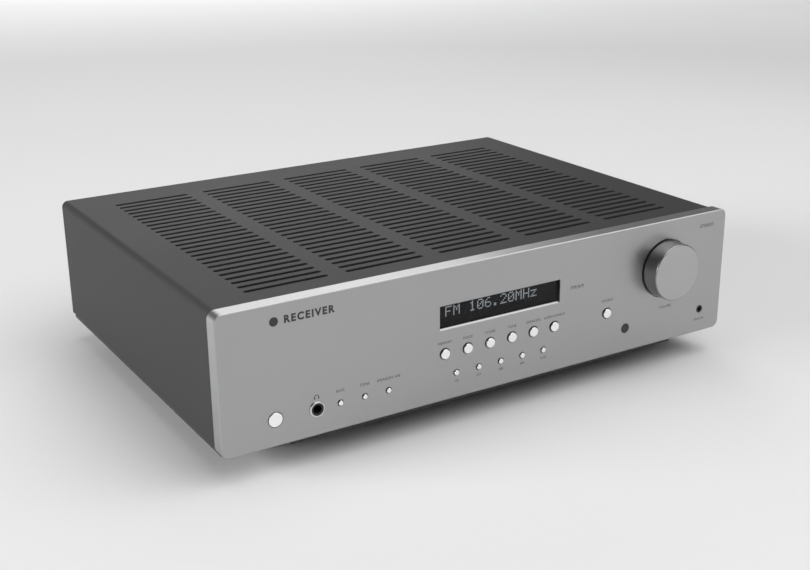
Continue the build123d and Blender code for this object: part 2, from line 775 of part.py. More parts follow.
with BuildPart() as tact_switches:
    with BuildSketch(behind_face(switch_front)):
        for _, x, height, _, _, _, _ in buttons:
            with Locations(on_panel(x, height)):
                Rectangle(switch_size, switch_size)
    extrude(amount=-switch_height)
    for _, x, height, _, _, _, travel in buttons:
        with BuildSketch(behind_face(stem_back + travel + plunger_gap)):
            with Locations(on_panel(x, height)):
                Circle(plunger_radius)
        extrude(amount=-(switch_front - stem_back - travel - plunger_gap))
save(tact_switches, "tact_switches")

# ---- Remote control window ------------------------------------------------------------------------------
with BuildPart() as ir_window:
    with BuildSketch(behind_face(part_gap)):
        with Locations(on_panel(ir_x, small_row_height)):
            Circle(ir_radius)
    extrude(amount=-(panel_face_thickness - part_gap))
    with BuildSketch(behind_face(panel_face_thickness)):
        with Locations(on_panel(ir_x, small_row_height)):
            Circle(ir_collar)
    extrude(amount=-collar_thickness)
save(ir_window, "ir_window")

# ---- Headphone jack and its ring ------------------------------------------------------------------------
with BuildPart() as headphone_jack:
    with BuildSketch(behind_face(-jack_front)):
        with Locations(on_panel(jack_x, small_row_height)):
            Circle(jack_bush_radius)
    extrude(amount=-(jack_front + panel_face_thickness))
    with BuildSketch(behind_face(panel_face_thickness)):
        with Locations(on_panel(jack_x, small_row_height)):
            Rectangle(jack_body, jack_body)
    extrude(amount=-(jack_bore_length + jack_wall - jack_front - panel_face_thickness))
    with BuildSketch(behind_face(-jack_front)):
        with Locations(on_panel(jack_x, small_row_height)):
            Circle(jack_bore)
    extrude(amount=-jack_bore_length, mode=Mode.SUBTRACT)
save(headphone_jack, "headphone_jack")

with BuildPart() as headphone_ring:
    with BuildSketch(behind_face(0)):
        with Locations(on_panel(jack_x, small_row_height)):
            Circle(ring_radius)
    extrude(amount=ring_thickness)
    ring_rim = headphone_ring.faces().sort_by(Axis.Y)[0].edges()
    fillet(ring_rim, radius=0.5)
    with BuildSketch(behind_face(0)):
        with Locations(on_panel(jack_x, small_row_height)):
            Circle(jack_bush_radius + part_gap)
    extrude(amount=ring_thickness, mode=Mode.SUBTRACT)
save(headphone_ring, "headphone_ring")

# ---- Auxiliary socket -----------------------------------------------------------------------------------
with BuildPart() as aux_jack:
    with BuildSketch(behind_face(0)):
        with Locations(on_panel(aux_x, small_row_height)):
            Circle(aux_bush_radius)
    extrude(amount=-panel_face_thickness)
    with BuildSketch(behind_face(panel_face_thickness)):
        with Locations(on_panel(aux_x, small_row_height)):
            Rectangle(aux_body_width, aux_body_height)
    extrude(amount=-(board_front - panel_face_thickness))
    with BuildSketch(behind_face(0)):
        with Locations(on_panel(aux_x, small_row_height)):
            Circle(aux_bore)
    extrude(amount=-aux_bore_length, mode=Mode.SUBTRACT)
save(aux_jack, "aux_jack")

# ---- Front control board with the remote control receiver -----------------------------------------------
standoff_x = panel_width / 2 - 2 * board_edge
standoff_z = board_top_z - 2 * standoff_radius
board_standoff_places = [(x, standoff_z) for x in (-standoff_x, source_x, standoff_x)]
with BuildPart() as front_board:
    with BuildSketch(behind_face(board_front)):
        with Locations((0, (board_top_z + board_bottom_z) / 2)):
            Rectangle(panel_width - 2 * board_edge, board_top_z - board_bottom_z)
        with Locations(on_panel(jack_x, small_row_height)):
            Rectangle(jack_body + 2 * frame_cut_gap, jack_body + 2 * frame_cut_gap, mode=Mode.SUBTRACT)
    extrude(amount=-board_thickness)
    with BuildSketch(behind_face(board_front)):
        with Locations(on_panel(ir_x, small_row_height)):
            Rectangle(switch_size, switch_size)
    extrude(amount=switch_height)
save(front_board, "front_board")

# ---- Main board and the standoffs under both boards -----------------------------------------------------
transformer_x = transformer_side + transformer_radius - inner_half
transformer_y = front_y + transformer_front + transformer_radius
main_left = transformer_x + transformer_radius + transformer_board_gap
main_right = inner_half - main_board_edge
main_front_y = front_y + main_board_front
main_rear_y = rear_y - main_board_rear
main_x = (main_left + main_right) / 2
main_y = (main_front_y + main_rear_y) / 2
main_width = main_right - main_left
main_length = main_rear_y - main_front_y
main_z = floor_z + main_board_lift
main_top_z = main_z + board_thickness
main_standoff_places = [
    (main_x + x * (main_width / 2 - 8), main_y + y * (main_length / 2 - 8)) for x in (-1, 1) for y in (-1, 1)
]

with BuildPart() as main_board:
    with BuildSketch(Plane.XY.offset(main_z)):
        with Locations((main_x, main_y)):
            Rectangle(main_width, main_length)
    extrude(amount=board_thickness)
save(main_board, "main_board")

with BuildPart() as board_standoffs:
    with BuildSketch(Plane.XY.offset(floor_z)):
        with Locations(*main_standoff_places):
            Circle(standoff_radius)
    extrude(amount=main_board_lift)
    with BuildSketch(at_y(frame_back_y)):
        with Locations(*board_standoff_places):
            Circle(standoff_radius)
    extrude(amount=-(front_y + board_front - frame_back_y))
save(board_standoffs, "board_standoffs")

# ---- Heat sink, power transistors and filter capacitors -------------------------------------------------
sink_height = roof_z - sink_headroom - main_top_z
sink_width = main_width - 2 * sink_end_margin
sink_y = rear_y - sink_rear_room
sink_fins = 1 + int((sink_width - sink_fin) / sink_fin_pitch)
sink_fin_step = (sink_width - sink_fin) / (sink_fins - 1)

with BuildPart() as heat_sink:
    with BuildSketch(Plane.XY.offset(main_top_z)):
        with Locations((main_x, sink_y)):
            Rectangle(sink_width, sink_plate)
        with Locations((main_x, sink_y - (sink_plate + sink_fin_length) / 2)):
            with GridLocations(sink_fin_step, 1, sink_fins, 1):
                Rectangle(sink_fin, sink_fin_length)
    extrude(amount=sink_height)
save(heat_sink, "heat_sink")

transistor_y = sink_y + sink_plate / 2
transistor_step = sink_width / transistor_count
with BuildPart() as power_transistors:
    with BuildSketch(at_y(transistor_y)):
        with Locations((main_x, main_top_z + transistor_lift + transistor_height / 2)):
            with GridLocations(transistor_step, 1, transistor_count, 1):
                Rectangle(transistor_width, transistor_height)
        with Locations((main_x, main_top_z + transistor_lift / 2)):
            with GridLocations(transistor_step, 1, transistor_count, 1):
                with GridLocations(transistor_width / 3, 1, 3, 1):
                    Rectangle(1.2, transistor_lift)
    extrude(amount=-transistor_thickness)
save(power_transistors, "power_transistors")

capacitor_y = main_front_y + capacitor_front
with BuildPart() as filter_capacitors:
    with BuildSketch(Plane.XY.offset(main_top_z)):
        with Locations((main_x, capacitor_y)):
            with GridLocations(capacitor_spacing, 1, 2, 1):
                Circle(capacitor_radius)
    extrude(amount=capacitor_height)
    can_tops = filter_capacitors.faces().group_by(Axis.Z)[-1].edges()
    fillet(can_tops, radius=1.2)
save(filter_capacitors, "filter_capacitors")

# ---- Ring transformer and its clamp ---------------------------------------------------------------------
with BuildPart() as transformer_winding:
    with BuildSketch(Plane.XY.offset(floor_z)):
        with Locations((transformer_x, transformer_y)):
            Circle(transformer_radius)
            Circle(transformer_hole, mode=Mode.SUBTRACT)
    extrude(amount=transformer_height)
    rounds = transformer_winding.edges().filter_by(GeomType.CIRCLE)
    fillet(rounds, radius=transformer_round)
save(transformer_winding, "transformer_winding")

clamp_z = floor_z + transformer_height
with BuildPart() as transformer_clamp:
    with BuildSketch(Plane.XY.offset(clamp_z)):
        with Locations((transformer_x, transformer_y)):
            Circle(clamp_radius)
    extrude(amount=clamp_thickness)
    with BuildSketch(Plane.XY.offset(clamp_z + clamp_thickness)):
        with Locations((transformer_x, transformer_y)):
            RegularPolygon(clamp_bolt_head, 6)
    extrude(amount=clamp_bolt_head_height)
    with BuildSketch(Plane.XY.offset(floor_z)):
        with Locations((transformer_x, transformer_y)):
            Circle(clamp_bolt_radius)
    extrude(amount=transformer_height)
save(transformer_clamp, "transformer_clamp")

# ---- Ribbon cable from the front board down to the main board -------------------------------------------
ribbon_x = main_x + ribbon_offset
ribbon_y = front_y + board_back
ribbon_z = main_top_z + ribbon_height
landing_y = main_front_y + ribbon_run
ribbon_outer_bend = ribbon_bend + ribbon_thickness
with BuildPart() as ribbon_cable:
    with BuildSketch(Plane.YZ.offset(ribbon_x)):
        with BuildLine():
            upper = FilletPolyline(
                (ribbon_y, ribbon_z + ribbon_thickness),
                (landing_y + ribbon_thickness, ribbon_z + ribbon_thickness),
                (landing_y + ribbon_thickness, main_top_z),
                radius=ribbon_outer_bend,
            )
            lower = FilletPolyline(
                (ribbon_y, ribbon_z),
                (landing_y, ribbon_z),
                (landing_y, main_top_z),
                radius=ribbon_bend,
            )
            Line(upper @ 0, lower @ 0)
            Line(upper @ 1, lower @ 1)
        make_face()
    extrude(amount=ribbon_width / 2, both=True)
save(ribbon_cable, "ribbon_cable")

# ---- Mains inlet and its pins ---------------------------------------------------------------------------
inlet_back = inlet_cavity_depth + 2 * inlet_wall
with BuildPart() as mains_inlet:
    with BuildSketch(at_y(rear_face_y)):
        with Locations((inlet_x, inlet_z)):
            RectangleRounded(inlet_flange_width, inlet_flange_height, 2.0)
    extrude(amount=-inlet_flange)
    with BuildSketch(at_y(rear_face_y)):
        with Locations((inlet_x, inlet_z)):
            Rectangle(inlet_cavity_width + 2 * inlet_wall, inlet_cavity_height + 2 * inlet_wall)
    extrude(amount=inlet_back - inlet_flange)
    with BuildSketch(at_y(rear_face_y + inlet_flange)):
        with Locations((inlet_x, inlet_z)):
            Rectangle(inlet_cavity_width, inlet_cavity_height)
    extrude(amount=inlet_cavity_depth, mode=Mode.SUBTRACT)
save(mains_inlet, "mains_inlet")

pin_root_y = rear_face_y + inlet_flange - inlet_cavity_depth
pin_places = [
    (inlet_x - inlet_pin_spacing / 2, inlet_z - inlet_pin_drop),
    (inlet_x + inlet_pin_spacing / 2, inlet_z - inlet_pin_drop),
    (inlet_x, inlet_z + inlet_earth_rise),
]
with BuildPart() as inlet_pins:
    with BuildSketch(at_y(pin_root_y)):
        with Locations(*pin_places):
            Rectangle(inlet_pin_width, inlet_pin_height)
    extrude(amount=-inlet_pin_length)
save(inlet_pins, "inlet_pins")

# ---- Mains switch: a housing that clips in the rear panel and the rocker in it --------------------------
rocker_y = rear_face_y - rocker_depth
with BuildPart() as switch_housing:
    with BuildSketch(at_y(rear_face_y)):
        with Locations((inlet_x, switch_z)):
            Rectangle(
                rocker_width + 2 * rocker_gap + 2 * housing_flange,
                2 * (rocker_radius + rocker_gap + housing_flange),
            )
    extrude(amount=-housing_lip)
    with BuildSketch(at_y(rear_face_y)):
        with Locations((inlet_x, switch_z)):
            Rectangle(2 * switch_half_width, 2 * switch_half_height)
    extrude(amount=housing_depth)
    with BuildSketch(at_y(rear_face_y + housing_lip)):
        with Locations((inlet_x, switch_z)):
            Rectangle(rocker_width + 2 * rocker_gap, 2 * (rocker_radius + rocker_gap))
    extrude(amount=housing_lip + rocker_depth + rocker_radius + rocker_gap, mode=Mode.SUBTRACT)
save(switch_housing, "switch_housing")

# The rocker is a drum about its axis with two flat faces, and it rests tilted to one side.
rocker_plane = Plane(origin=(inlet_x, rocker_y, switch_z), x_dir=(0, 1, 0), z_dir=(1, 0, 0))
with BuildPart() as mains_rocker:
    with BuildSketch(rocker_plane):
        Circle(rocker_radius)
        with Locations(Location((rocker_face + rocker_radius, 0), 0)):
            Rectangle(2 * rocker_radius, 2 * rocker_radius, mode=Mode.SUBTRACT)
        with Locations(Location((rocker_face, 0), 2 * rocker_face_angle)):
            Rectangle(
                2 * rocker_radius,
                2 * rocker_radius,
                align=(Align.MIN, Align.MIN),
                mode=Mode.SUBTRACT,
            )
    extrude(amount=rocker_width / 2, both=True)
save(mains_rocker, "mains_rocker")

# ---- Speaker terminals ----------------------------------------------------------------------------------
terminal_outer_y = rear_face_y + terminal_plate
post_end_y = rear_y + terminal_projection
with BuildPart() as terminal_block:
    with BuildSketch(at_y(rear_face_y)):
        with Locations((terminal_offset, terminal_z)):
            RectangleRounded(terminal_plate_width, terminal_plate_height, 2.5)
    extrude(amount=-terminal_plate)
    with BuildSketch(at_y(rear_face_y)):
        with Locations((terminal_offset, terminal_z)):
            Rectangle(terminal_body_width, terminal_body_height)
    extrude(amount=terminal_body)
    with BuildSketch(at_y(terminal_outer_y)):
        with Locations(*post_places):
            Circle(post_radius + part_gap)
    extrude(amount=terminal_plate + terminal_body, mode=Mode.SUBTRACT)
save(terminal_block, "terminal_block")

with BuildPart() as speaker_posts:
    with BuildSketch(at_y(post_end_y)):
        with Locations(*post_places):
            Circle(post_radius)
    extrude(amount=post_end_y - rear_face_y + terminal_body + post_tail)
    with BuildSketch(at_y(post_end_y)):
        with Locations(*post_places):
            Circle(post_bore)
    extrude(amount=post_bore_length, mode=Mode.SUBTRACT)
save(speaker_posts, "speaker_posts")

for index, place in enumerate(post_places):
    with BuildPart() as post_cap:
        with BuildSketch(at_y(terminal_outer_y + post_cap_gap)):
            with Locations(place):
                Circle(post_cap_radius)
                with PolarLocations(post_cap_radius, post_flute_count):
                    Circle(post_flute_radius, mode=Mode.SUBTRACT)
                Circle(post_radius + run_gap, mode=Mode.SUBTRACT)
        extrude(amount=-(post_end_y - terminal_outer_y - 2 * post_cap_gap))
    save(post_cap, f"post_cap_{index + 1}")

# ---- Phono sockets --------------------------------------------------------------------------------------
phono_bore_start = rear_face_y + phono_shell_length - part_gap
with BuildPart() as phono_sockets:
    with BuildSketch(at_y(rear_inner_y)):
        with Locations(*phono_places):
            Rectangle(phono_body, phono_body)
    extrude(amount=phono_body_depth)
    with BuildSketch(at_y(rear_inner_y)):
        with Locations(*phono_places):
            Circle(phono_shell_radius - phono_shell_wall - part_gap)
    extrude(amount=-(sheet + phono_shell_length - part_gap))
    with BuildSketch(at_y(phono_bore_start)):
        with Locations(*phono_places):
            Circle(phono_bore)
    extrude(amount=phono_bore_length, mode=Mode.SUBTRACT)
save(phono_sockets, "phono_sockets")

with BuildPart() as phono_shells:
    with BuildSketch(at_y(rear_inner_y)):
        with Locations(*phono_places):
            Circle(phono_shell_radius)
    extrude(amount=-(sheet + phono_shell_length))
    with BuildSketch(at_y(rear_face_y)):
        with Locations(*phono_places):
            Circle(phono_flange_radius)
    extrude(amount=-phono_flange)
    with BuildSketch(at_y(rear_inner_y)):
        with Locations(*phono_places):
            Circle(phono_shell_radius - phono_shell_wall)
    extrude(amount=-(sheet + phono_shell_length), mode=Mode.SUBTRACT)
save(phono_shells, "phono_shells")

input_board_y = rear_inner_y - phono_body_depth
with BuildPart() as input_board:
    with BuildSketch(at_y(input_board_y)):
        with Locations((phono_x, phono_z + phono_row_pitch / 2)):
            Rectangle(
                phono_columns * phono_pitch + 2 * input_board_margin,
                phono_row_pitch + phono_body + 2 * input_board_margin,
            )
    extrude(amount=board_thickness)
save(input_board, "input_board")

# ---- Tuner module and its aerial socket -----------------------------------------------------------------
with BuildPart() as tuner_module:
    with BuildSketch(at_y(rear_inner_y)):
        with Locations((aerial_x, aerial_z)):
            Rectangle(tuner_width, tuner_box_height)
    extrude(amount=tuner_depth)
save(tuner_module, "tuner_module")

with BuildPart() as aerial_socket:
    with BuildSketch(at_y(rear_inner_y)):
        with Locations((aerial_x, aerial_z)):
            Circle(aerial_radius)
    extrude(amount=-(sheet + aerial_nut + aerial_length))
    with BuildSketch(at_y(rear_face_y)):
        with Locations((aerial_x, aerial_z)):
            RegularPolygon(aerial_nut_radius, 6)
    extrude(amount=-aerial_nut)
    with BuildSketch(at_y(rear_face_y + aerial_nut + aerial_length)):
        with Locations((aerial_x, aerial_z)):
            Circle(aerial_core)
    extrude(amount=aerial_core_depth, mode=Mode.SUBTRACT)
save(aerial_socket, "aerial_socket")
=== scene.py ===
import math

import bmesh
import bpy
import numpy as np
from mathutils import Matrix, Vector


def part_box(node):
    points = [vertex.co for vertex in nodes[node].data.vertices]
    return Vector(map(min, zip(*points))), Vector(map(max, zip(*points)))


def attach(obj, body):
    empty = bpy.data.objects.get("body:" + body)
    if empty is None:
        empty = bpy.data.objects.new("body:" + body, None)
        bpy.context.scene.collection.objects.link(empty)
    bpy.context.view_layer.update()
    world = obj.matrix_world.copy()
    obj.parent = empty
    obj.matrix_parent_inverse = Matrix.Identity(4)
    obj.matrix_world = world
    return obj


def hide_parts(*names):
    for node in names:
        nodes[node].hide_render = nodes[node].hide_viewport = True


# Stereo receiver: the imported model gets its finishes, its printing and its small parts.
# Everything is in metres. X runs to the right seen from the front, Y to the back, Z up.
# The front face looks along -Y.

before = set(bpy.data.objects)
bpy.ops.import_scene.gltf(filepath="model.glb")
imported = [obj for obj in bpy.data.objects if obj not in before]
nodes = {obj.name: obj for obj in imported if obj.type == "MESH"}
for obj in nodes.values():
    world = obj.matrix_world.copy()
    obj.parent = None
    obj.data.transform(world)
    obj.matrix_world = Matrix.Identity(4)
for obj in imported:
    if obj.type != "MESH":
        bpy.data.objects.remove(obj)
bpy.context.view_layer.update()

TURN = 2 * math.pi

panel_low, panel_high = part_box("front_panel")
face_y = panel_low.y


def middle(node):
    """The centre of a node's box, as three numbers."""
    low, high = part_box(node)
    return (low + high) / 2


# ---- Camera, lights and floor ---------------------------------------------------------------------------
LENS = 54.954
CAMERA_PLACE = (-0.48104, -0.81099, 0.38464)
CAMERA_AZIMUTH = -31.546
CAMERA_RISE = 19.527
CAMERA_ROLL = -0.532
SENSOR_WIDTH = 36.0

# Each row: name, place, the point it shines at, power in watts, width and height.
SOFTBOXES = (
    ("front_softbox", (0.9, -1.3, 1.7), (0.15, -0.3, 0.0), 36, 2.8, 2.3),
    ("roof_softbox", (0.3, 0.3, 2.8), (0, 0, 0), 22, 2.4, 2.4),
    ("rear_softbox", (1.19, 3.22, 1.33), (0, 0, 0.1), 24.5, 2.1, 1.26),
    ("left_softbox", (-3.3, 0.6, 0.95), (0, 0, 0.05), 118, 2.0, 1.3),
)


def place_camera():
    """The camera looks along the given azimuth and rise, then rolls about its own line of sight."""
    azimuth, rise = math.radians(CAMERA_AZIMUTH), math.radians(CAMERA_RISE)
    back = Vector((math.sin(azimuth) * math.cos(rise), -math.cos(azimuth) * math.cos(rise), math.sin(rise)))
    right = Vector((math.cos(azimuth), math.sin(azimuth), 0))
    up = back.cross(right)
    turn = Matrix((right, up, back)).transposed() @ Matrix.Rotation(math.radians(CAMERA_ROLL), 3, "Z")
    data = bpy.data.cameras.new("studio_camera")
    data.lens = LENS
    data.sensor_width = SENSOR_WIDTH
    data.clip_start = 0.01
    camera = bpy.data.objects.new("studio_camera", data)
    camera.matrix_world = Matrix.Translation(CAMERA_PLACE) @ turn.to_4x4()
    bpy.context.scene.collection.objects.link(camera)
    bpy.context.scene.camera = camera


def soft_light(name, place, aim, power, width, height):
    """A rectangular softbox at a place, turned to shine at a point."""
    data = bpy.data.lights.new(name, "AREA")
    data.shape = "RECTANGLE"
    data.size, data.size_y = width, height
    data.energy = power
    lamp = bpy.data.objects.new(name, data)
    lamp.location = place
    lamp.rotation_euler = (Vector(aim) - Vector(place)).to_track_quat("-Z", "Y").to_euler()
    lamp.visible_camera = False
    bpy.context.scene.collection.objects.link(lamp)


def studio_air(shine, seen):
    """Even light from all round. What the camera sees of it beyond the floor is as pale as the floor."""
    world = bpy.data.worlds.new("studio_air")
    bpy.context.scene.world = world
    world.use_nodes = True
    tree = world.node_tree
    light = tree.nodes["Background"]
    light.inputs["Color"].default_value = (*shine, 1)
    backdrop = tree.nodes.new("ShaderNodeBackground")
    backdrop.inputs["Color"].default_value = (*seen, 1)
    path = tree.nodes.new("ShaderNodeLightPath")
    choose = tree.nodes.new("ShaderNodeMixShader")
    tree.links.new(path.outputs["Is Camera Ray"], choose.inputs["Fac"])
    tree.links.new(light.outputs[0], choose.inputs[1])
    tree.links.new(backdrop.outputs[0], choose.inputs[2])
    tree.links.new(choose.outputs[0], tree.nodes["World Output"].inputs["Surface"])


place_camera()
studio_air(shine=(0.10, 0.10, 0.102), seen=(0.75, 0.75, 0.755))
for softbox in SOFTBOXES:
    soft_light(*softbox)
bpy.context.scene.view_settings.view_transform = "Standard"


# ---- Finishes -------------------------------------------------------------------------------------------
def new_finish(name):
    """A material with its shader and the object coordinates that its patterns read."""
    material = bpy.data.materials.new(name)
    material.use_nodes = True
    tree = material.node_tree
    place = tree.nodes.new("ShaderNodeTexCoord").outputs["Object"]
    return material, tree, tree.nodes["Principled BSDF"], place


def mottle(tree, place, grain, detail=2.0):
    """Noise from 0 to 1 whose spots are about grain metres across."""
    noise = tree.nodes.new("ShaderNodeTexNoise")
    noise.inputs["Scale"].default_value = 1 / grain
    noise.inputs["Detail"].default_value = detail
    tree.links.new(place, noise.inputs["Vector"])
    return noise.outputs["Fac"]


def stretch(tree, value, low, high, start=0.3, end=0.7):
    """A value between start and end, spread between low and high."""
    node = tree.nodes.new("ShaderNodeMapRange")
    node.inputs["From Min"].default_value = start
    node.inputs["From Max"].default_value = end
    node.inputs["To Min"].default_value = low
    node.inputs["To Max"].default_value = high
    tree.links.new(value, node.inputs["Value"])
    return node.outputs["Result"]


def reckon(tree, operation, first, second=None):
    """One sum on two values, each a socket or a number."""
    node = tree.nodes.new("ShaderNodeMath")
    node.operation = operation
    for socket, value in zip(node.inputs, (first, second)):
        if isinstance(value, (int, float)):
            socket.default_value = value
        elif value is not None:
            tree.links.new(value, socket)
    return node.outputs["Value"]


def shades(tree, value, colours, stops=None):
    """A value from 0 to 1 turned into a colour between the given ones."""
    ramp = tree.nodes.new("ShaderNodeValToRGB")
    marks = ramp.color_ramp.elements
    stops = stops or [index / (len(colours) - 1) for index in range(len(colours))]
    while len(marks) < len(colours):
        marks.new(0.5)
    for mark, stop, colour in zip(marks, stops, colours):
        mark.position = stop
        mark.color = (*colour, 1)
    tree.links.new(value, ramp.inputs["Fac"])
    return ramp.outputs["Color"]


def dents(tree, shader, height, depth, strength=1.0):
    """Relief on the shader, depth metres from the lowest to the highest value."""
    bump = tree.nodes.new("ShaderNodeBump")
    bump.inputs["Distance"].default_value = depth
    bump.inputs["Strength"].default_value = strength
    tree.links.new(height, bump.inputs["Height"])
    tree.links.new(bump.outputs["Normal"], shader.inputs["Normal"])


def parts_of(tree, place):
    """The three coordinates of a place."""
    split = tree.nodes.new("ShaderNodeSeparateXYZ")
    tree.links.new(place, split.inputs["Vector"])
    return split.outputs["X"], split.outputs["Y"], split.outputs["Z"]


def centred(tree, place, centre):
    """The place measured from a centre."""
    shift = tree.nodes.new("ShaderNodeMapping")
    shift.inputs["Location"].default_value = [-value for value in centre]
    tree.links.new(place, shift.inputs["Vector"])
    return shift.outputs["Vector"]


def plain_finish(name, dark, light, grain, depth, roughness, metal=0.0, specular=0.5, drift=0.05):
    """A grained finish: fine spots, grain across and depth high, give the relief and part of the shade.
    Broad patches, drift across, give the rest of the shade and the roughness."""
    material, tree, shader, place = new_finish(name)
    fine = mottle(tree, place, grain)
    broad = mottle(tree, place, drift, 3.0)
    blend = reckon(tree, "ADD", reckon(tree, "MULTIPLY", fine, 0.4), reckon(tree, "MULTIPLY", broad, 0.6))
    tree.links.new(shades(tree, blend, (dark, light), (0.3, 0.7)), shader.inputs["Base Color"])
    tree.links.new(stretch(tree, broad, *roughness), shader.inputs["Roughness"])
    dents(tree, shader, fine, depth, strength=0.6)
    shader.inputs["Metallic"].default_value = metal
    shader.inputs["Specular IOR Level"].default_value = specular
    return material


# Width over which the knob's colour fades into the painted shade of its rim.
PAINTED_RIM_BLEND = 0.0008


def spun_finish(name, node, dark, light, painted_rim_shade, edge, pitch, depth, roughness):
    """Metal turned on a lathe about the node's axis: fine lines, pitch apart, at each radius and each depth.
    Beyond the radius of the edge its colour turns to the rim colour, a painted shade that draws the knob's
    side darker than its face."""
    material, tree, shader, place = new_finish(name)
    x, y, z = parts_of(tree, centred(tree, place, middle(node)))
    squares = reckon(tree, "ADD", reckon(tree, "POWER", x, 2.0), reckon(tree, "POWER", z, 2.0))
    across = reckon(tree, "SQRT", squares)
    along = reckon(tree, "DIVIDE", reckon(tree, "SUBTRACT", across, y), pitch)
    lines = tree.nodes.new("ShaderNodeTexNoise")
    lines.noise_dimensions = "1D"
    lines.inputs["Scale"].default_value = 1.0
    lines.inputs["Detail"].default_value = 1.0
    tree.links.new(along, lines.inputs["W"])
    # Mask for the painted shade: 0.5 on the front face, falling to 0 past the edge radius, where the darker
    # rim colour takes over.
    face = stretch(tree, across, 0.5, 0.0, edge - PAINTED_RIM_BLEND, edge)
    tone = reckon(tree, "ADD", reckon(tree, "MULTIPLY", lines.outputs["Fac"], 0.5), face)
    colour = shades(tree, tone, (painted_rim_shade, painted_rim_shade, dark, light), (0.0, 0.5, 0.65, 0.85))
    tree.links.new(colour, shader.inputs["Base Color"])
    broad = mottle(tree, place, grain=0.02)
    tree.links.new(stretch(tree, broad, *roughness), shader.inputs["Roughness"])
    dents(tree, shader, lines.outputs["Fac"], depth, strength=0.5)
    shader.inputs["Metallic"].default_value = 1.0
    return material


def grey(value, blue=0.0):
    """An even shade, or one a little bluer than even."""
    return (value, value, value * (1 + blue))


# Each row: name, dark and light shade, width and height of the grain, lowest and highest roughness, the rest.
PLAIN_FINISHES = (
    ("silver_panel", grey(0.415, 0.01), grey(0.45, 0.012), 0.0004, 1e-5, (0.37, 0.41),
     dict(metal=1, drift=0.12)),
    ("button_metal", grey(0.96), grey(0.99), 0.0003, 2e-6, (0.12, 0.17), dict(metal=1, drift=0.01)),
    ("cover_paint", grey(0.044, 0.02), grey(0.052, 0.02), 0.0005, 2e-5, (0.52, 0.58),
     dict(specular=0.08, drift=0.15)),
    ("rear_paint", grey(0.022), grey(0.03), 0.0006, 3e-5, (0.48, 0.55), {}),
    ("plated_steel", grey(0.42, 0.03), grey(0.56, 0.02), 0.0012, 1e-5, (0.3, 0.42), dict(metal=1)),
    ("screw_steel", grey(0.05), grey(0.08), 0.0004, 1e-5, (0.3, 0.4), dict(metal=1, drift=0.005)),
    ("nickel", (0.66, 0.65, 0.63), (0.75, 0.74, 0.72), 0.0004, 5e-6, (0.16, 0.24), dict(metal=1, drift=0.01)),
    ("gold_plate", (0.75, 0.53, 0.2), (0.86, 0.66, 0.3), 0.0004, 5e-6, (0.2, 0.28),
     dict(metal=1, drift=0.01)),
    ("black_plastic", grey(0.017), grey(0.026), 0.0005, 3e-5, (0.38, 0.48), {}),
    ("pad_rubber", grey(0.012), grey(0.022), 0.0007, 4e-5, (0.7, 0.85), dict(specular=0.3)),
    ("sink_metal", grey(0.02), grey(0.035), 0.0005, 2e-5, (0.4, 0.5), dict(metal=0.4)),
    ("ribbon_plastic", grey(0.4), grey(0.5), 0.0012, 6e-5, (0.45, 0.55), {}),
    ("dark_ink", grey(0.03), grey(0.045), 0.0003, 4e-6, (0.5, 0.6), dict(drift=0.01)),
    ("white_ink", grey(0.62), grey(0.72), 0.0003, 4e-6, (0.5, 0.6), dict(drift=0.01)),
    ("white_plastic", grey(0.6), grey(0.68), 0.0004, 1e-5, (0.35, 0.45), dict(drift=0.01)),
    ("resistor_paint", (0.42, 0.33, 0.2), (0.55, 0.45, 0.3), 0.0004, 1e-5, (0.35, 0.45), dict(drift=0.01)),
    ("bare_aluminium", grey(0.5), grey(0.62), 0.0005, 1e-5, (0.3, 0.4), dict(metal=1, drift=0.01)),
)


TRACES_PER_METRE = 160
JOINTS_PER_METRE = 260


def board_finish():
    """Green solder mask over copper: cell borders stand for the traces, small round spots for solder."""
    material, tree, shader, place = new_finish("circuit_board")
    cells = tree.nodes.new("ShaderNodeTexVoronoi")
    cells.feature = "DISTANCE_TO_EDGE"
    cells.distance = "EUCLIDEAN"
    cells.inputs["Scale"].default_value = TRACES_PER_METRE
    tree.links.new(place, cells.inputs["Vector"])
    spots = tree.nodes.new("ShaderNodeTexVoronoi")
    spots.inputs["Scale"].default_value = JOINTS_PER_METRE
    tree.links.new(place, spots.inputs["Vector"])
    tracks = stretch(tree, cells.outputs["Distance"], 1.0, 0.0, 0.04, 0.09)
    solder = stretch(tree, spots.outputs["Distance"], 1.0, 0.0, 0.12, 0.16)
    copper = reckon(tree, "MULTIPLY", tracks, 0.45)
    shade = reckon(tree, "ADD", copper, reckon(tree, "MULTIPLY", solder, 0.55))
    colours = ((0.012, 0.07, 0.03), (0.03, 0.15, 0.06), (0.55, 0.56, 0.55))
    tree.links.new(shades(tree, shade, colours, (0.0, 0.45, 0.6)), shader.inputs["Base Color"])
    tree.links.new(stretch(tree, solder, 0.42, 0.25, 0.0, 1.0), shader.inputs["Roughness"])
    dents(tree, shader, shade, depth=4e-5, strength=0.8)
    return material


TAPE_WRAPS = 48


def tape_finish():
    """Yellow polyester tape: one band for each wrap round the ring, with broad patches over them."""
    material, tree, shader, place = new_finish("winding_tape")
    x, y, _ = parts_of(tree, centred(tree, place, middle("transformer_winding")))
    angle = reckon(tree, "ARCTAN2", y, x)
    bands = reckon(tree, "FRACT", reckon(tree, "MULTIPLY", angle, TAPE_WRAPS / TURN))
    broad = mottle(tree, place, grain=0.012)
    shade = reckon(tree, "ADD", reckon(tree, "MULTIPLY", bands, 0.5), reckon(tree, "MULTIPLY", broad, 0.5))
    colour = shades(tree, shade, ((0.45, 0.24, 0.04), (0.7, 0.5, 0.1)), (0.25, 0.75))
    tree.links.new(colour, shader.inputs["Base Color"])
    tree.links.new(stretch(tree, broad, 0.28, 0.4), shader.inputs["Roughness"])
    dents(tree, shader, bands, depth=1e-4, strength=0.4)
    shader.inputs["Coat Weight"].default_value = 0.3
    return material


STRIPE_OUT = 0.0105
SIGN_PITCH = 0.007


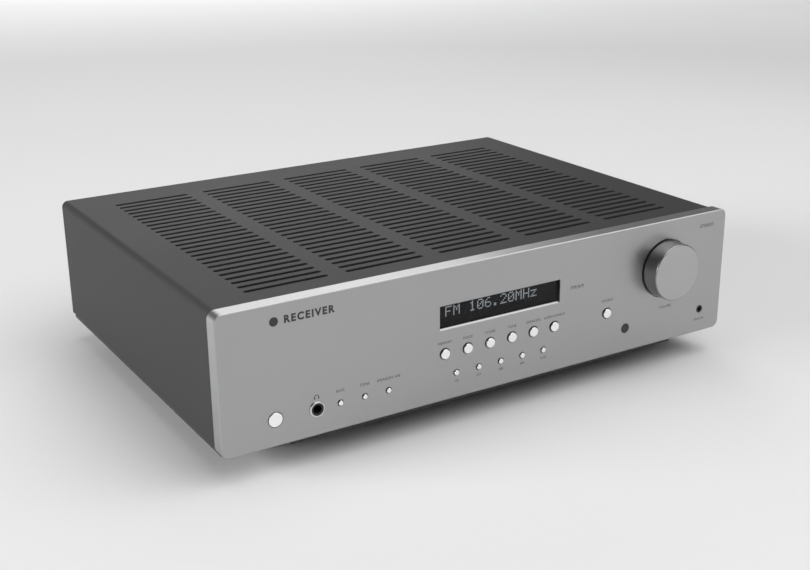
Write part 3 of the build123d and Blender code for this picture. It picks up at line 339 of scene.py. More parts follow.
def sleeve_finish():
    """Dark blue shrink sleeve with a pale stripe of minus signs down the side towards the front."""
    material, tree, shader, place = new_finish("capacitor_sleeve")
    _, y, z = parts_of(tree, place)
    front = middle("filter_capacitors").y - STRIPE_OUT
    stripe = reckon(tree, "LESS_THAN", y, front)
    gaps = reckon(tree, "FRACT", reckon(tree, "DIVIDE", z, SIGN_PITCH))
    dashes = reckon(tree, "MULTIPLY", stripe, reckon(tree, "GREATER_THAN", gaps, 0.25))
    broad = mottle(tree, place, grain=0.01)
    shade = reckon(tree, "ADD", reckon(tree, "MULTIPLY", dashes, 0.7), reckon(tree, "MULTIPLY", broad, 0.2))
    colours = ((0.012, 0.016, 0.05), (0.025, 0.03, 0.08), (0.5, 0.5, 0.52))
    tree.links.new(shades(tree, shade, colours, (0.0, 0.4, 0.7)), shader.inputs["Base Color"])
    tree.links.new(stretch(tree, broad, 0.18, 0.26), shader.inputs["Roughness"])
    shader.inputs["Coat Weight"].default_value = 0.3
    return material


def window_finish():
    """Smoked acrylic: clear, dark and glossy, a little uneven in shade and gloss."""
    material, tree, shader, place = new_finish("smoked_window")
    haze = mottle(tree, place, grain=0.02)
    tree.links.new(shades(tree, haze, (grey(0.19, 0.03), grey(0.22, 0.03))), shader.inputs["Base Color"])
    tree.links.new(stretch(tree, haze, 0.02, 0.05), shader.inputs["Roughness"])
    shader.inputs["Transmission Weight"].default_value = 1.0
    shader.inputs["IOR"].default_value = 1.3
    shader.inputs["Specular IOR Level"].default_value = 0.12
    return material


def dark_glass_finish(name, dark, light, roughness, specular):
    """Dark glossy plastic or glass that shows nothing behind it."""
    material, tree, shader, place = new_finish(name)
    haze = mottle(tree, place, grain=0.004)
    tree.links.new(shades(tree, haze, (dark, light)), shader.inputs["Base Color"])
    tree.links.new(stretch(tree, haze, *roughness), shader.inputs["Roughness"])
    shader.inputs["Specular IOR Level"].default_value = specular
    return material


def cap_finish(name, dark, light):
    """Tinted plastic cap with a clear coat over its colour."""
    material, tree, shader, place = new_finish(name)
    cloud = mottle(tree, place, grain=0.003)
    tree.links.new(shades(tree, cloud, (dark, light)), shader.inputs["Base Color"])
    tree.links.new(stretch(tree, cloud, 0.16, 0.24), shader.inputs["Roughness"])
    shader.inputs["Coat Weight"].default_value = 0.6
    return material


def insert_finish():
    """Socket inserts: red in the lower row and white in the upper row, told apart by height."""
    material, tree, shader, place = new_finish("socket_inserts")
    _, _, z = parts_of(tree, place)
    upper = reckon(tree, "GREATER_THAN", z, middle("phono_sockets").z)
    cloud = mottle(tree, place, grain=0.002)
    shade = reckon(tree, "ADD", reckon(tree, "MULTIPLY", upper, 0.8), reckon(tree, "MULTIPLY", cloud, 0.2))
    colours = ((0.36, 0.012, 0.012), (0.5, 0.02, 0.02), (0.68, 0.68, 0.66), (0.8, 0.8, 0.78))
    tree.links.new(shades(tree, shade, colours, (0.0, 0.2, 0.8, 1.0)), shader.inputs["Base Color"])
    tree.links.new(stretch(tree, cloud, 0.3, 0.4), shader.inputs["Roughness"])
    return material


FLOOR_GLOW = 0.62
GLOW_FROM, GLOW_TO = 1.6, 4.2


def floor_finish():
    """Pale paper that glows a little where it lies far off, so that it stays pale up to the horizon."""
    material = plain_finish(
        "floor_paper", grey(0.82), grey(0.85), 0.002, 3e-5, (0.75, 0.85), specular=0.2, drift=0.8
    )
    tree = material.node_tree
    shader = tree.nodes["Principled BSDF"]
    distance = tree.nodes.new("ShaderNodeVectorMath")
    distance.operation = "LENGTH"
    place = tree.nodes.new("ShaderNodeTexCoord").outputs["Object"]
    tree.links.new(place, distance.inputs[0])
    far = stretch(tree, distance.outputs["Value"], 0.0, FLOOR_GLOW, GLOW_FROM, GLOW_TO)
    shader.inputs["Emission Color"].default_value = (*grey(1.0, 0.004), 1)
    tree.links.new(far, shader.inputs["Emission Strength"])
    return material


def glow_finish(name, colour, strength):
    """Lit dots of the display, a little uneven."""
    material, tree, shader, place = new_finish(name)
    flicker = mottle(tree, place, grain=0.004)
    glow = shades(tree, flicker, ([value * 0.9 for value in colour], colour))
    tree.links.new(glow, shader.inputs["Base Color"])
    tree.links.new(glow, shader.inputs["Emission Color"])
    shader.inputs["Emission Strength"].default_value = strength
    shader.inputs["Roughness"].default_value = 0.4
    return material


finishes = {row[0]: plain_finish(*row[:-1], **row[-1]) for row in PLAIN_FINISHES}
finishes["knob_metal"] = spun_finish(
    "knob_metal",
    "volume_knob",
    dark=grey(0.42),
    light=grey(0.46),
    # Painted shade: the side and lip of the knob are drawn in this darker grey.
    painted_rim_shade=grey(0.31),
    edge=0.0218,
    pitch=0.00015,
    depth=2e-6,
    roughness=(0.24, 0.27),
)
finishes["circuit_board"] = board_finish()
finishes["winding_tape"] = tape_finish()
finishes["capacitor_sleeve"] = sleeve_finish()
finishes["smoked_window"] = window_finish()
finishes["remote_window"] = dark_glass_finish(
    "remote_window", grey(0.02), (0.03, 0.022, 0.026), roughness=(0.12, 0.18), specular=0.5
)
finishes["tube_glass"] = dark_glass_finish(
    "tube_glass", grey(0.006), grey(0.01), roughness=(0.2, 0.3), specular=0.15
)
finishes["red_cap"] = cap_finish("red_cap", (0.3, 0.006, 0.008), (0.42, 0.012, 0.012))
finishes["black_cap"] = cap_finish("black_cap", grey(0.010), grey(0.018))
finishes["socket_inserts"] = insert_finish()
finishes["display_glow"] = glow_finish("display_glow", (0.80, 0.88, 0.92), 0.72)
finishes["floor_paper"] = floor_finish()

own_finish = {
    # Painted shade: the plated steel base is drawn in the dark rear paint, so the strip under the front panel
    # reads dark.
    "chassis_base": "rear_paint",
    "ir_window": "remote_window",
    "display_module": "tube_glass",
    "phono_sockets": "socket_inserts",
    "post_cap_1": "red_cap",
    "post_cap_2": "black_cap",
    "post_cap_3": "red_cap",
    "post_cap_4": "black_cap",
}
for node_name, node in nodes.items():
    packed_name = node.data.materials[0].name
    node.data.materials[0] = finishes[own_finish.get(node_name, packed_name.split(".")[0])]


# ---- Surfaces worked out from two parameters --------------------------------------------------------------
def grid_quads(rows, columns, close_rows=False, close_columns=False):
    """Corner numbers of the squares of a grid of points, joined end to start where it closes."""
    last_row = rows if close_rows else rows - 1
    last_column = columns if close_columns else columns - 1
    row, column = np.meshgrid(np.arange(last_row), np.arange(last_column), indexing="ij")
    next_row, next_column = (row + 1) % rows, (column + 1) % columns
    corners = (row * columns + column, row * columns + next_column,
               next_row * columns + next_column, next_row * columns + column)
    return np.stack(corners, -1).reshape(-1, 4)


WELD = 2e-7
SLIVER = 1e-8


def make_piece(name, shells, finish, body, crease=35.0):
    """One object from shells of points and squares, merged at their poles, with faces outwards."""
    count, points, quads = 0, [], []
    for shell_points, shell_quads in shells:
        points.append(shell_points.reshape(-1, 3))
        quads.append(shell_quads + count)
        count += len(points[-1])
    mesh = bpy.data.meshes.new(name)
    mesh.from_pydata(np.concatenate(points).tolist(), [], np.concatenate(quads).tolist())
    tidy = bmesh.new()
    tidy.from_mesh(mesh)
    bmesh.ops.remove_doubles(tidy, verts=tidy.verts, dist=WELD)
    bmesh.ops.dissolve_degenerate(tidy, edges=tidy.edges, dist=SLIVER)
    bmesh.ops.recalc_face_normals(tidy, faces=tidy.faces)
    tidy.to_mesh(mesh)
    tidy.free()
    return settle(name, mesh, finish, body, crease)


def settle(name, mesh, finish, body, crease=35.0):
    """A finished mesh becomes a piece at the origin that rides on its body."""
    mesh.shade_smooth()
    mesh.set_sharp_from_angle(angle=math.radians(crease))
    mesh.materials.append(finishes[finish])
    piece = bpy.data.objects.new(name, mesh)
    bpy.context.scene.collection.objects.link(piece)
    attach(piece, body)
    return piece


def frame_of(axis):
    """Two directions square to an axis, so that the three are right-handed."""
    axis = np.array(axis, float)
    first = np.array((1.0, 0.0, 0.0)) if abs(axis[0]) < 0.9 else np.array((0.0, 0.0, 1.0))
    second = np.cross(axis, first)
    return first, second, axis


def turned(centre, axis, profile, steps=64, swell=None):
    """A lathe shape: point (r, h) of the profile goes to centre + swell * r * (cos t, sin t) + h * axis.
    swell is 1 or a function of the angle t and the profile's radii.
    The profile closes on itself, or starts and ends at r = 0."""
    first, second, axis = frame_of(axis)
    profile = np.array(profile, float)
    angle = np.arange(steps) / steps * TURN
    factor = np.ones((1, steps)) if swell is None else swell(angle[None, :], profile[:, :1])
    radius = profile[:, :1] * factor
    around = np.cos(angle)[None, :, None] * first + np.sin(angle)[None, :, None] * second
    points = np.array(centre, float) + radius[..., None] * around + profile[:, 1][:, None, None] * axis
    is_ring = profile[0, 0] > 0 or profile[-1, 0] > 0
    return points, grid_quads(len(profile), steps, close_rows=is_ring, close_columns=True)


def arc(centre, radius, start, end, steps=6):
    """Points of an arc between two angles in degrees."""
    angle = np.radians(np.linspace(start, end, steps))
    return [(centre[0] + radius * math.cos(a), centre[1] + radius * math.sin(a)) for a in angle]


def block(low, high):
    """A plain box as a shell of six squares."""
    low, high = np.array(low, float), np.array(high, float)
    corners = np.array([(x, y, z) for z in (0, 1) for y in (0, 1) for x in (0, 1)], float)
    faces = np.array([(0, 2, 3, 1), (4, 5, 7, 6), (0, 1, 5, 4), (2, 6, 7, 3), (0, 4, 6, 2), (1, 3, 7, 5)])
    return low + corners * (high - low), faces


def solids(node):
    """The lowest and highest corner of each separate solid of a node, from a merged copy of its mesh."""
    merged = bmesh.new()
    merged.from_mesh(nodes[node].data)
    bmesh.ops.remove_doubles(merged, verts=merged.verts, dist=1e-6)
    found, seen = [], set()
    for start in merged.verts:
        if start in seen:
            continue
        seen.add(start)
        waiting, members = [start], []
        while waiting:
            vertex = waiting.pop()
            members.append(tuple(vertex.co))
            for edge in vertex.link_edges:
                other = edge.other_vert(vertex)
                if other not in seen:
                    seen.add(other)
                    waiting.append(other)
        members = np.array(members)
        found.append((members.min(0), members.max(0)))
    merged.free()
    return found


# ---- Floor ----------------------------------------------------------------------------------------------
FLOOR_REACH = 16
FLOOR_RINGS, FLOOR_SPOKES = 24, 64
FLOOR_BELOW = 0.00005


def lay_floor():
    """A flat round sheet of pale paper just under the pads: points (r cos t, r sin t, -FLOOR_BELOW), where
    r grows with the square of the ring's number."""
    reach = np.linspace(0, 1, FLOOR_RINGS)[:, None] ** 2 * FLOOR_REACH
    angle = np.arange(FLOOR_SPOKES) / FLOOR_SPOKES * TURN
    level = np.full((FLOOR_RINGS, FLOOR_SPOKES), -FLOOR_BELOW)
    points = np.stack([reach * np.cos(angle), reach * np.sin(angle), level], -1)
    quads = grid_quads(FLOOR_RINGS, FLOOR_SPOKES, close_columns=True)
    mesh = bpy.data.meshes.new("floor")
    mesh.from_pydata(points.reshape(-1, 3).tolist(), [], quads.tolist())
    mesh.materials.append(finishes["floor_paper"])
    floor = bpy.data.objects.new("floor", mesh)
    bpy.context.scene.collection.objects.link(floor)


lay_floor()


# ---- Printing -------------------------------------------------------------------------------------------
INK = 0.00003
CAPITAL_SHARE = 0.72
PRINT_CREASE = 20.0
KEY_TEXT = 0.0020
REAR_TEXT = 0.0027
NAME_BELOW_EDGE = 0.0121
FRONT = Matrix(((1, 0, 0), (0, 0, -1), (0, 1, 0))).to_4x4()
BACK = Matrix(((-1, 0, 0), (0, 0, 1), (0, 1, 0))).to_4x4()


def word_mesh(words, height, bold, spacing=1.08):
    """Words as a closed film, centred on the origin, capitals height metres tall, facing +Z."""
    curve = bpy.data.curves.new("words", "FONT")
    curve.body = words
    curve.size = height / CAPITAL_SHARE
    curve.align_x, curve.align_y = "CENTER", "CENTER"
    curve.extrude = INK
    curve.offset = bold * height
    curve.resolution_u = 3
    curve.space_character = spacing
    holder = bpy.data.objects.new("words", curve)
    bpy.context.scene.collection.objects.link(holder)
    bpy.context.view_layer.update()
    mesh = bpy.data.meshes.new_from_object(holder.evaluated_get(bpy.context.evaluated_depsgraph_get()))
    bpy.data.objects.remove(holder)
    bpy.data.curves.remove(curve)
    return mesh


def join_prints(name, prints, finish, body):
    """One piece from several films, each a mesh and the matrix that puts it in its place."""
    joined = bmesh.new()
    for mesh, placing in prints:
        mesh.transform(placing)
        joined.from_mesh(mesh)
        bpy.data.meshes.remove(mesh)
    bmesh.ops.remove_doubles(joined, verts=joined.verts, dist=WELD / 2)
    mesh = bpy.data.meshes.new(name)
    joined.to_mesh(mesh)
    joined.free()
    return settle(name, mesh, finish, body, PRINT_CREASE)


def print_words(name, labels, finish, side, depth):
    """Several words printed on one plane: each label is words, x, z, height of its capitals, boldness and,
    where the letters stand apart, their spacing."""
    prints = []
    for words, x, z, height, bold, *spacing in labels:
        prints.append((word_mesh(words, height, bold, *spacing), Matrix.Translation((x, depth, z)) @ side))
    join_prints(name, prints, finish, "chassis")


def beside(node, words, rise, height=KEY_TEXT):
    """A label above the middle of a node, or below it where rise is under 0."""
    centre = middle(node)
    return words, centre.x, centre.z + rise, height, 0.0


FRONT_ROWS = (
    ("function_button", 0.0081, ("MEMORY", "MODE", "STORE", "TUNE", "SPEAKERS", "DISPLAY/INFO")),
    ("preset_button", -0.0063, ("1/6", "2/7", "3/8", "4/9", "5/10")),
    ("mode_button", 0.0088, ("BASS", "TONE", "SPEAKERS A/B")),
)


def front_printing():
    """Generic words beside the controls, in dark ink on the face."""
    labels = [
        beside(f"{kind}_{number}", words, rise)
        for kind, rise, row in FRONT_ROWS
        for number, words in enumerate(row, 1)
    ]
    labels.append(beside("source_button", "SOURCE", 0.0101))
    labels.append(("VOLUME", middle("volume_knob").x + 0.0025, panel_low.z + 0.0285, 0.0021, 0.0))
    labels.append(beside("aux_jack", "AUX IN", -0.0083))
    print_words("key_labels", labels, "dark_ink", FRONT, face_y)
    upper = panel_high.z
    names = [
        ("RECEIVER", panel_low.x + 0.0652, upper - NAME_BELOW_EDGE, 0.0050, 0.06, 1.26),
        ("STEREO", panel_high.x - 0.0198, upper - 0.0106, 0.0028, 0.01),
        ("FM/AM", middle("display_window").x + 0.0675, upper - 0.0363, 0.0028, 0.0),
    ]
    print_words("name_marks", names, "dark_ink", FRONT, face_y)
    radius = 0.0031
    disc = [(0, -INK), (radius, -INK), (radius, INK), (0, INK)]
    centre = (panel_low.x + 0.0402, face_y, upper - NAME_BELOW_EDGE)
    make_piece("name_spot", [turned(centre, (0, 1, 0), disc, 64)], "dark_ink", "chassis")


def headphone_sign():
    """A headband as a ribbon along an arc, (R +- width) (cos t, sin t), and an ear pad below each end."""
    centre = middle("headphone_ring")
    x, z = centre.x, centre.z + 0.0085
    radius, width, steps, beyond = 0.0015, 0.00025, 24, 0.15
    angle = np.linspace(-beyond, math.pi + beyond, steps)
    inner, outer = radius - width, radius + width
    section = np.array([(inner, -INK), (outer, -INK), (outer, INK), (inner, INK)])
    across, deep = section[:, :1], section[:, 1:]
    points = np.stack([x + across * np.cos(angle), face_y + deep + 0 * angle, z + across * np.sin(angle)], -1)
    first = np.arange(4) * steps
    ends = np.array([first, np.roll(first[::-1], 1) + steps - 1])
    shells = [(points, np.concatenate([grid_quads(4, steps, close_rows=True), ends]))]
    pad_half, pad_low, pad_high = 0.00045, 0.0014, 0.0001
    for pad_x in (x - radius, x + radius):
        low = (pad_x - pad_half, face_y - INK, z - pad_low)
        shells.append(block(low, (pad_x + pad_half, face_y + INK, z - pad_high)))
    make_piece("headphone_sign", shells, "dark_ink", "chassis")


def rear_printing():
    """Generic words on the rear panel in white ink."""
    block_x, block_z = middle("terminal_block").x, middle("terminal_block").z
    labels = [("SPEAKERS", block_x, block_z + 0.0168, 0.0034, 0.0)]
    for index, words in enumerate(("L -", "L +", "R -", "R +")):
        labels.append((words, middle(f"post_cap_{4 - index}").x, block_z - 0.0162, REAR_TEXT, 0.0))
    low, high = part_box("phono_shells")
    columns = {round((start[0] + end[0]) / 2, 5) for start, end in solids("phono_shells")}
    for number, x in enumerate(sorted(columns, reverse=True), 1):
        labels.append((f"INPUT {number}", x, high.z + 0.0056, REAR_TEXT, 0.0))
    for words, z in (("L", high.z - 0.006), ("R", low.z + 0.006)):
        labels.append((words, high.x + 0.0035, z, REAR_TEXT, 0.0))
    labels.append(beside("aerial_socket", "FM AERIAL", 0.0110, REAR_TEXT))
    labels.append(beside("mains_inlet", "AC IN", -0.0155, REAR_TEXT))
    labels.append(beside("switch_housing", "POWER", 0.0148, REAR_TEXT))
    print_words("rear_labels", labels, "white_ink", BACK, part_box("rear_panel")[1].y)


def rocker_marks():
    """The stroke and the ring that mark on and off. The lower face stands upright and the upper one leans
    back by 18 degrees."""
    low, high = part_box("mains_rocker")
    ridge = Matrix.Translation(((low.x + high.x) / 2, high.y, (low.z + high.z) / 2))
    prints = []
    for words, lean, along in (("I", 18, 0.0033), ("O", 0, -0.0033)):
        tilt = Matrix.Rotation(math.radians(lean), 4, "X")
        placing = ridge @ tilt @ Matrix.Translation((0, 0, along)) @ BACK
        prints.append((word_mesh(words, 0.0028, 0.015), placing))
    join_prints("rocker_marks", prints, "white_ink", "rocker")


front_printing()
headphone_sign()
rear_printing()
rocker_marks()


# ---- Display --------------------------------------------------------------------------------------------
GLYPHS = {
    "F": "##### #.... #.... ####. #.... #.... #....",
    "M": "#...# ##.## #.#.# #.#.# #...# #...# #...#",
    "1": "..#.. .##.. ..#.. ..#.. ..#.. ..#.. .###.",
    "0": ".###. #...# #..## #.#.# ##..# #...# .###.",
    "6": "..##. .#... #.... ####. #...# #...# .###.",
    "2": ".###. #...# ....# ...#. ..#.. .#... #####",
    ".": "..... ..... ..... ..... ..... .##.. .##..",
    "H": "#...# #...# #...# ##### #...# #...# #...#",
    "z": "..... ..... ##### ...#. ..#.. .#... #####",
    " ": "..... ..... ..... ..... ..... ..... .....",
}
DOT_STEP_X = 0.001105
DOT_STEP_Z = 0.001075
DOT = 0.00082
LETTER_ROWS, LETTER_COLUMNS = 7, 5
TEXT_FROM_LEFT, TEXT_FROM_TOP = 0.0105, 0.0059
TUBE_GAP = 0.0001


def display_dots():
    """Square dots on a five by seven grid for each letter, on the face of the dark tube in the window."""
    low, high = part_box("display_window")
    tube_y = high.y - TUBE_GAP
    left, top = low.x + TEXT_FROM_LEFT, high.z - TEXT_FROM_TOP
    shells = []
    for index, letter in enumerate("FM 106.20MHz"):
        rows = GLYPHS[letter].split()
        for row in range(LETTER_ROWS):
            for column in range(LETTER_COLUMNS):
                if rows[row][column] == "#":
                    x = left + (index * (LETTER_COLUMNS + 1) + column) * DOT_STEP_X
                    z = top - row * DOT_STEP_Z
                    shells.append(block((x, tube_y - TUBE_GAP, z - DOT), (x + DOT, tube_y, z)))
    make_piece("display_dots", shells, "display_glow", "chassis")
    tube_depth = 0.00008
    start = (low.x + TUBE_GAP, tube_y, low.z + TUBE_GAP)
    tube = block(start, (high.x - TUBE_GAP, tube_y + tube_depth, high.z - TUBE_GAP))
    make_piece("display_tube_face", [tube], "tube_glass", "chassis")


def display_sill():
    """A bevelled strip of bright metal along the foot of the display opening: one section of depth and height
    carried straight across from end to end."""
    centre = middle("display_window")
    foot_z = centre.z - 0.0089
    half_length = 0.0517
    section = np.array([(0.0001, 0.0), (0.0011, 0.0010), (0.0019, 0.0010), (0.0019, 0.0)])
    ends = np.array([[centre.x - half_length], [centre.x + half_length]])
    points = np.stack(np.broadcast_arrays(ends, face_y + section[:, 0], foot_z + section[:, 1]), -1)
    quads = np.concatenate([grid_quads(2, 4, close_columns=True), [(0, 1, 2, 3), (4, 5, 6, 7)]])
    make_piece("display_sill", [(points, quads)], "silver_panel", "chassis")


display_dots()
display_sill()


# ---- Volume knob ----------------------------------------------------------------------------------------
def turn_knob():
    """A lathe shape from a profile of radius and depth: flat front, round lip, slightly tapered side, hollow
    skirt and hub."""
    low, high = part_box("volume_knob")
    centre = (low + high) / 2
    wide = (high.x - low.x) / 2
    slim = wide - 0.0005
    length = high.y - low.y
    lip = 0.0009
    skirt = slim - 0.0025
    web = 0.003
    hub, hub_bore, hub_end = 0.0075, 0.0031, 0.0115
    fillet = 0.0003
    profile = [(0, 0), (slim - 0.0030, 0), (slim - 0.0012, 0)]
    profile += arc((slim - lip, lip), lip, -90, 0, 8)
    profile += [(slim + 0.0002, length * 0.5), (wide - 0.00012, length - 0.0002), (wide - 0.0002, length)]
    profile += [(skirt, length), (skirt, web + 0.0002), (skirt - fillet, web), (hub + fillet, web)]
    profile += [(hub, web + fillet), (hub, hub_end), (hub_bore, hub_end), (hub_bore, web), (0, web)]
    shell = turned((centre.x, low.y, centre.z), (0, 1, 0), profile, 128)
    knob = make_piece("volume_knob_turned", [shell], "knob_metal", "volume")
    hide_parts("volume_knob")


turn_knob()


# ---- Screws ---------------------------------------------------------------------------------------------
HEAD_RISE = 0.0018
HEAD_CURVE = 0.45
SHANK_RADIUS, TIP_RADIUS, TIP_LENGTH = 0.0014, 0.0009, 0.001
CROSS_DEPTH = 0.0011


def cross_recess(x, z, radius):
    """How deep a cross slot is at a point of the head, from 0 to 1: two arms that end in a square."""
    arm = np.minimum(np.abs(x), np.abs(z)) / radius
    reach = np.maximum(np.abs(x), np.abs(z)) / radius
    walls = np.clip((0.17 - arm) / 0.05, 0, 1)
    ends = np.clip((0.62 - reach) / 0.08, 0, 1)
    return walls * ends


def drive_screws():
    """Screws with domed heads of radius R, height = HEAD_RISE * (1 - HEAD_CURVE * (r / R) ** 2), less the
    cross."""
    shells = []
    for low, high in solids("case_screws"):
        centre, size = (low + high) / 2, high - low
        radius = size[0] / 2
        if size[2] > size[1]:
            axis, start = (0, 0, -1), (centre[0], centre[1], low[2] + HEAD_RISE)
            shank = size[2] - HEAD_RISE
        else:
            axis, start = (0, 1, 0), (centre[0], high[1] - HEAD_RISE, centre[2])
            shank = size[1] - HEAD_RISE
        reach = np.linspace(1, 0, 15) ** 0.8 * radius
        rise = HEAD_RISE * (1 - HEAD_CURVE * (reach / radius) ** 2)
        body = [(0, -shank), (TIP_RADIUS, -shank), (SHANK_RADIUS, TIP_LENGTH - shank)]
        body += [(SHANK_RADIUS, 0), (radius, 0)]
        points, quads = turned(start, axis, body + list(zip(reach, rise)), 48)
        first, second, out = frame_of(axis)
        flat = points[len(body):] - np.array(start)
        depth = cross_recess(flat @ first, flat @ second, radius) * CROSS_DEPTH
        points[len(body):] -= depth[..., None] * out
        shells.append((points, quads))
    heads = make_piece("case_screw_set", shells, "screw_steel", "chassis", 40.0)
    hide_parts("case_screws")


drive_screws()


# ---- Transformer winding --------------------------------------------------------------------------------
RING_HOLE = 0.020
RING_STEPS, RING_SECTION_STEPS = 960, 40
RING_SQUARENESS = 0.42
WRAP_DIP = 0.0004


def wrap_winding():
    """A ring of wound tape. Its section is a superellipse, (|cos s| ** p, |sin s| ** p) with the signs of cos
    and sin, carried round the axis. Between wraps it is drawn in by
    WRAP_DIP * (1 - |sin(TAPE_WRAPS * t / 2)|)."""
    low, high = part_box("transformer_winding")
    centre = (low + high) / 2
    half_width = ((high.x - low.x) / 2 - RING_HOLE) / 2
    half_height = (high.z - low.z) / 2
    turn = np.arange(RING_STEPS)[:, None] / RING_STEPS * TURN
    section = np.arange(RING_SECTION_STEPS) / RING_SECTION_STEPS * TURN
    across = np.sign(np.cos(section)) * np.abs(np.cos(section)) ** RING_SQUARENESS
    up = np.sign(np.sin(section)) * np.abs(np.sin(section)) ** RING_SQUARENESS
    dip = WRAP_DIP * (1 - np.abs(np.sin(turn * TAPE_WRAPS / 2)))
    radius = RING_HOLE + half_width + (half_width - dip) * across
    height = (half_height - dip) * up
    x, y = centre.x + radius * np.cos(turn), centre.y + radius * np.sin(turn)
    points = np.stack([x, y, centre.z + height], -1)
    quads = grid_quads(RING_STEPS, RING_SECTION_STEPS, close_rows=True, close_columns=True)
    ring = make_piece("transformer_ring", [(points, quads)], "winding_tape", "chassis", 60.0)
    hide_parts("transformer_winding")


wrap_winding()


# ---- Capacitor tops -------------------------------------------------------------------------------------
LID_RADIUS, LID_BEVEL = 0.0124, 0.0003
SCORE_REACH, SCORE_DEPTH = 0.0105, 0.00025


def capacitor_lids():
    """Aluminium discs on the cans, scored with a cross: the face is lower by
    SCORE_DEPTH * clip((0.5 mm - d) / 0.3 mm, 0, 1), where d is the distance to the nearer arm."""
    shells = []
    for low, high in solids("filter_capacitors"):
        x, y, _ = (low + high) / 2
        wall = [(0, 0.00002), (LID_RADIUS, 0.00002), (LID_RADIUS, 0.0003)]
        face = [(radius, 0.0004) for radius in np.linspace(LID_RADIUS - LID_BEVEL, 0, 14)]
        points, quads = turned((x, y, high[2] - 0.0001), (0, 0, 1), wall + face, 48)
        top = points[len(wall):]
        along_x, along_y = top[..., 0] - x, top[..., 1] - y
        score = np.clip((0.0005 - np.minimum(np.abs(along_x), np.abs(along_y))) / 0.0003, 0, 1)
        inside = np.hypot(along_x, along_y) < SCORE_REACH
        top[..., 2] -= score * inside * SCORE_DEPTH
        shells.append((points, quads))
    make_piece("capacitor_lids", shells, "bare_aluminium", "chassis")


capacitor_lids()


# ---- Sockets at the rear --------------------------------------------------------------------------------
BARREL_STEPS = 96
BARREL_RADIUS, BARREL_BEVEL = 0.00475, 0.0004
THREAD_PITCH, THREAD_DEPTH = 0.0008, 0.00015
THREAD_START, THREAD_RUN_IN = 0.0022, 0.0004
MOUTH_RADIUS, PIN_HOLE = 0.0032, 0.0006
NUT_BORE, NUT_CORNER, NUT_THICK = 0.00478, 0.007, 0.002


def hexagon(angle, size):
    """How much of a radius a hexagon with its corners at NUT_CORNER leaves at an angle."""
    edge = NUT_CORNER * math.cos(TURN / 12) / np.cos(angle % (TURN / 6) - TURN / 12)
    return np.minimum(1, edge / size)


def aerial_barrel():
    """A threaded barrel with a hexagon nut and a white insert in its mouth. Above the nut its radius is
    BARREL_RADIUS - THREAD_DEPTH * (1 - cos(TURN * h / THREAD_PITCH - t))."""
    low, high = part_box("aerial_socket")
    centre = (low + high) / 2
    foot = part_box("rear_panel")[1].y
    first, second, out = frame_of((0, 1, 0))
    turn = np.arange(BARREL_STEPS) / BARREL_STEPS * TURN
    length = high.y - low.y
    height = np.linspace(0, length, BARREL_STEPS)
    threaded = np.clip((height - (foot - low.y) - THREAD_START) / THREAD_RUN_IN, 0, 1)
    bevel = np.clip(height - (length - BARREL_BEVEL), 0, None)
    wave = 1 - np.cos(height[:, None] * TURN / THREAD_PITCH - turn[None, :])
    wall = BARREL_RADIUS - THREAD_DEPTH * wave * threaded[:, None] - bevel[:, None]
    rows = [np.zeros((1, BARREL_STEPS)), wall]
    heights = [np.zeros(1), height]
    floor, pin_end = length - 0.001, length - 0.003
    mouth = [(MOUTH_RADIUS, length), (MOUTH_RADIUS, floor), (PIN_HOLE, floor), (PIN_HOLE, pin_end)]
    for radius, place in mouth + [(0, pin_end)]:
        rows.append(np.full((1, BARREL_STEPS), radius))
        heights.append(np.array([place]))
    radius, height = np.concatenate(rows), np.concatenate(heights)
    around = np.cos(turn)[None, :, None] * first + np.sin(turn)[None, :, None] * second
    start = np.array((centre.x, low.y, centre.z))
    points = start + radius[..., None] * around + height[:, None, None] * out
    barrel = (points, grid_quads(len(radius), BARREL_STEPS, close_columns=True))
    profile = [(NUT_BORE, 0), (NUT_CORNER, 0), (NUT_CORNER, 0.0015), (0.0062, NUT_THICK)]
    profile += [(NUT_BORE, NUT_THICK)]
    nut = turned((centre.x, foot, centre.z), (0, 1, 0), profile, BARREL_STEPS, hexagon)
    socket = make_piece("aerial_barrel", [barrel, nut], "nickel", "chassis", 30.0)
    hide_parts("aerial_socket")
    bore, outside = PIN_HOLE + 0.00002, MOUTH_RADIUS - 0.00005
    ring = [(bore, 0), (outside, 0), (outside, 0.0005), (0.0009, 0.0005), (bore, 0.0003)]
    insert = turned((centre.x, high.y - 0.00099, centre.z), (0, 1, 0), ring, 48)
    make_piece("aerial_insert", [insert], "white_plastic", "chassis")


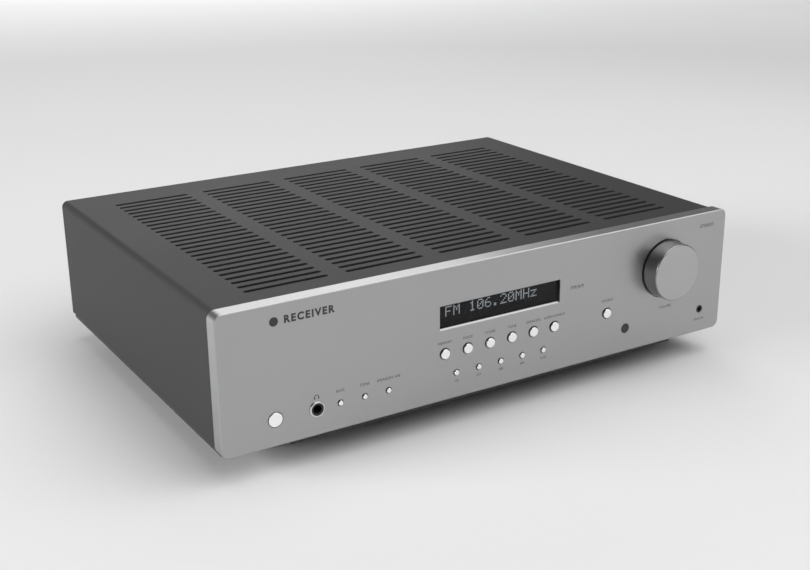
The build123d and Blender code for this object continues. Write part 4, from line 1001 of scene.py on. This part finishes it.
def phono_contacts():
    """Contact sleeves inside the phono sockets: tubes with a rounded mouth, turned from a profile of radius
    and height."""
    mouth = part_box("phono_sockets")[1].y
    profile = [(0.00169, 0), (0.00169, 0.0066), (0.00160, 0.0069), (0.00150, 0.0066), (0.00145, 0)]
    sunk = 0.0074
    shells = []
    for low, high in solids("phono_sockets"):
        x, _, z = (low + high) / 2
        shells.append(turned((x, mouth - sunk, z), (0, 1, 0), profile, 32))
    make_piece("phono_contacts", shells, "nickel", "chassis")


aerial_barrel()
phono_contacts()


# ---- Small parts on the main board ----------------------------------------------------------------------
RESISTOR = [(0, 0), (0.0009, 0.0001), (0.0011, 0.0006), (0.0009, 0.0012), (0.0009, 0.0048),
            (0.0011, 0.0054), (0.0009, 0.0059), (0, 0.006)]
RESISTOR_LIFT = 0.0012
RESISTOR_PITCH = 0.012


def can_profile(radius, tall):
    """Radius and height of a small can with a groove round its foot and a bevel at its top."""
    bevel = 0.0005
    return [(0, 0), (radius, 0), (radius, 0.001), (radius * 0.93, 0.0015), (radius, 0.002),
            (radius, tall - bevel), (radius - bevel, tall), (0, tall)]


def board_parts():
    """Rows of resistors turned from a profile with swollen ends, small cans in three sizes, and flat chips."""
    low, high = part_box("main_board")
    surface = high.z
    free_front, free_rear = low.y + 0.052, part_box("heat_sink")[0].y - 0.010
    resistors = []
    for row, y in enumerate(np.linspace(free_front, free_front + 0.030, 5)):
        for x in np.linspace(low.x + 0.012, low.x + 0.120, 10):
            if (row + round(x / RESISTOR_PITCH)) % 4:
                resistors.append(turned((x, y, surface + RESISTOR_LIFT), (1, 0, 0), RESISTOR, 10))
    make_piece("board_resistors", resistors, "resistor_paint", "chassis")
    cans = []
    for index, x in enumerate(np.linspace(low.x + 0.015, high.x - 0.015, 14)):
        radius, tall = 0.003 + 0.001 * (index % 3), 0.008 + 0.002 * (index % 3)
        cans.append(turned((x, free_rear, surface), (0, 0, 1), can_profile(radius, tall), 24))
    make_piece("board_cans", cans, "capacitor_sleeve", "chassis")
    chips = []
    half_x, half_y, thick = 0.006, 0.004, 0.0025
    for x in np.linspace(low.x + 0.150, high.x - 0.030, 4):
        for y in (free_front + 0.004, free_front + 0.024):
            chips.append(block((x - half_x, y - half_y, surface), (x + half_x, y + half_y, surface + thick)))
    make_piece("board_chips", chips, "black_plastic", "chassis")


board_parts()
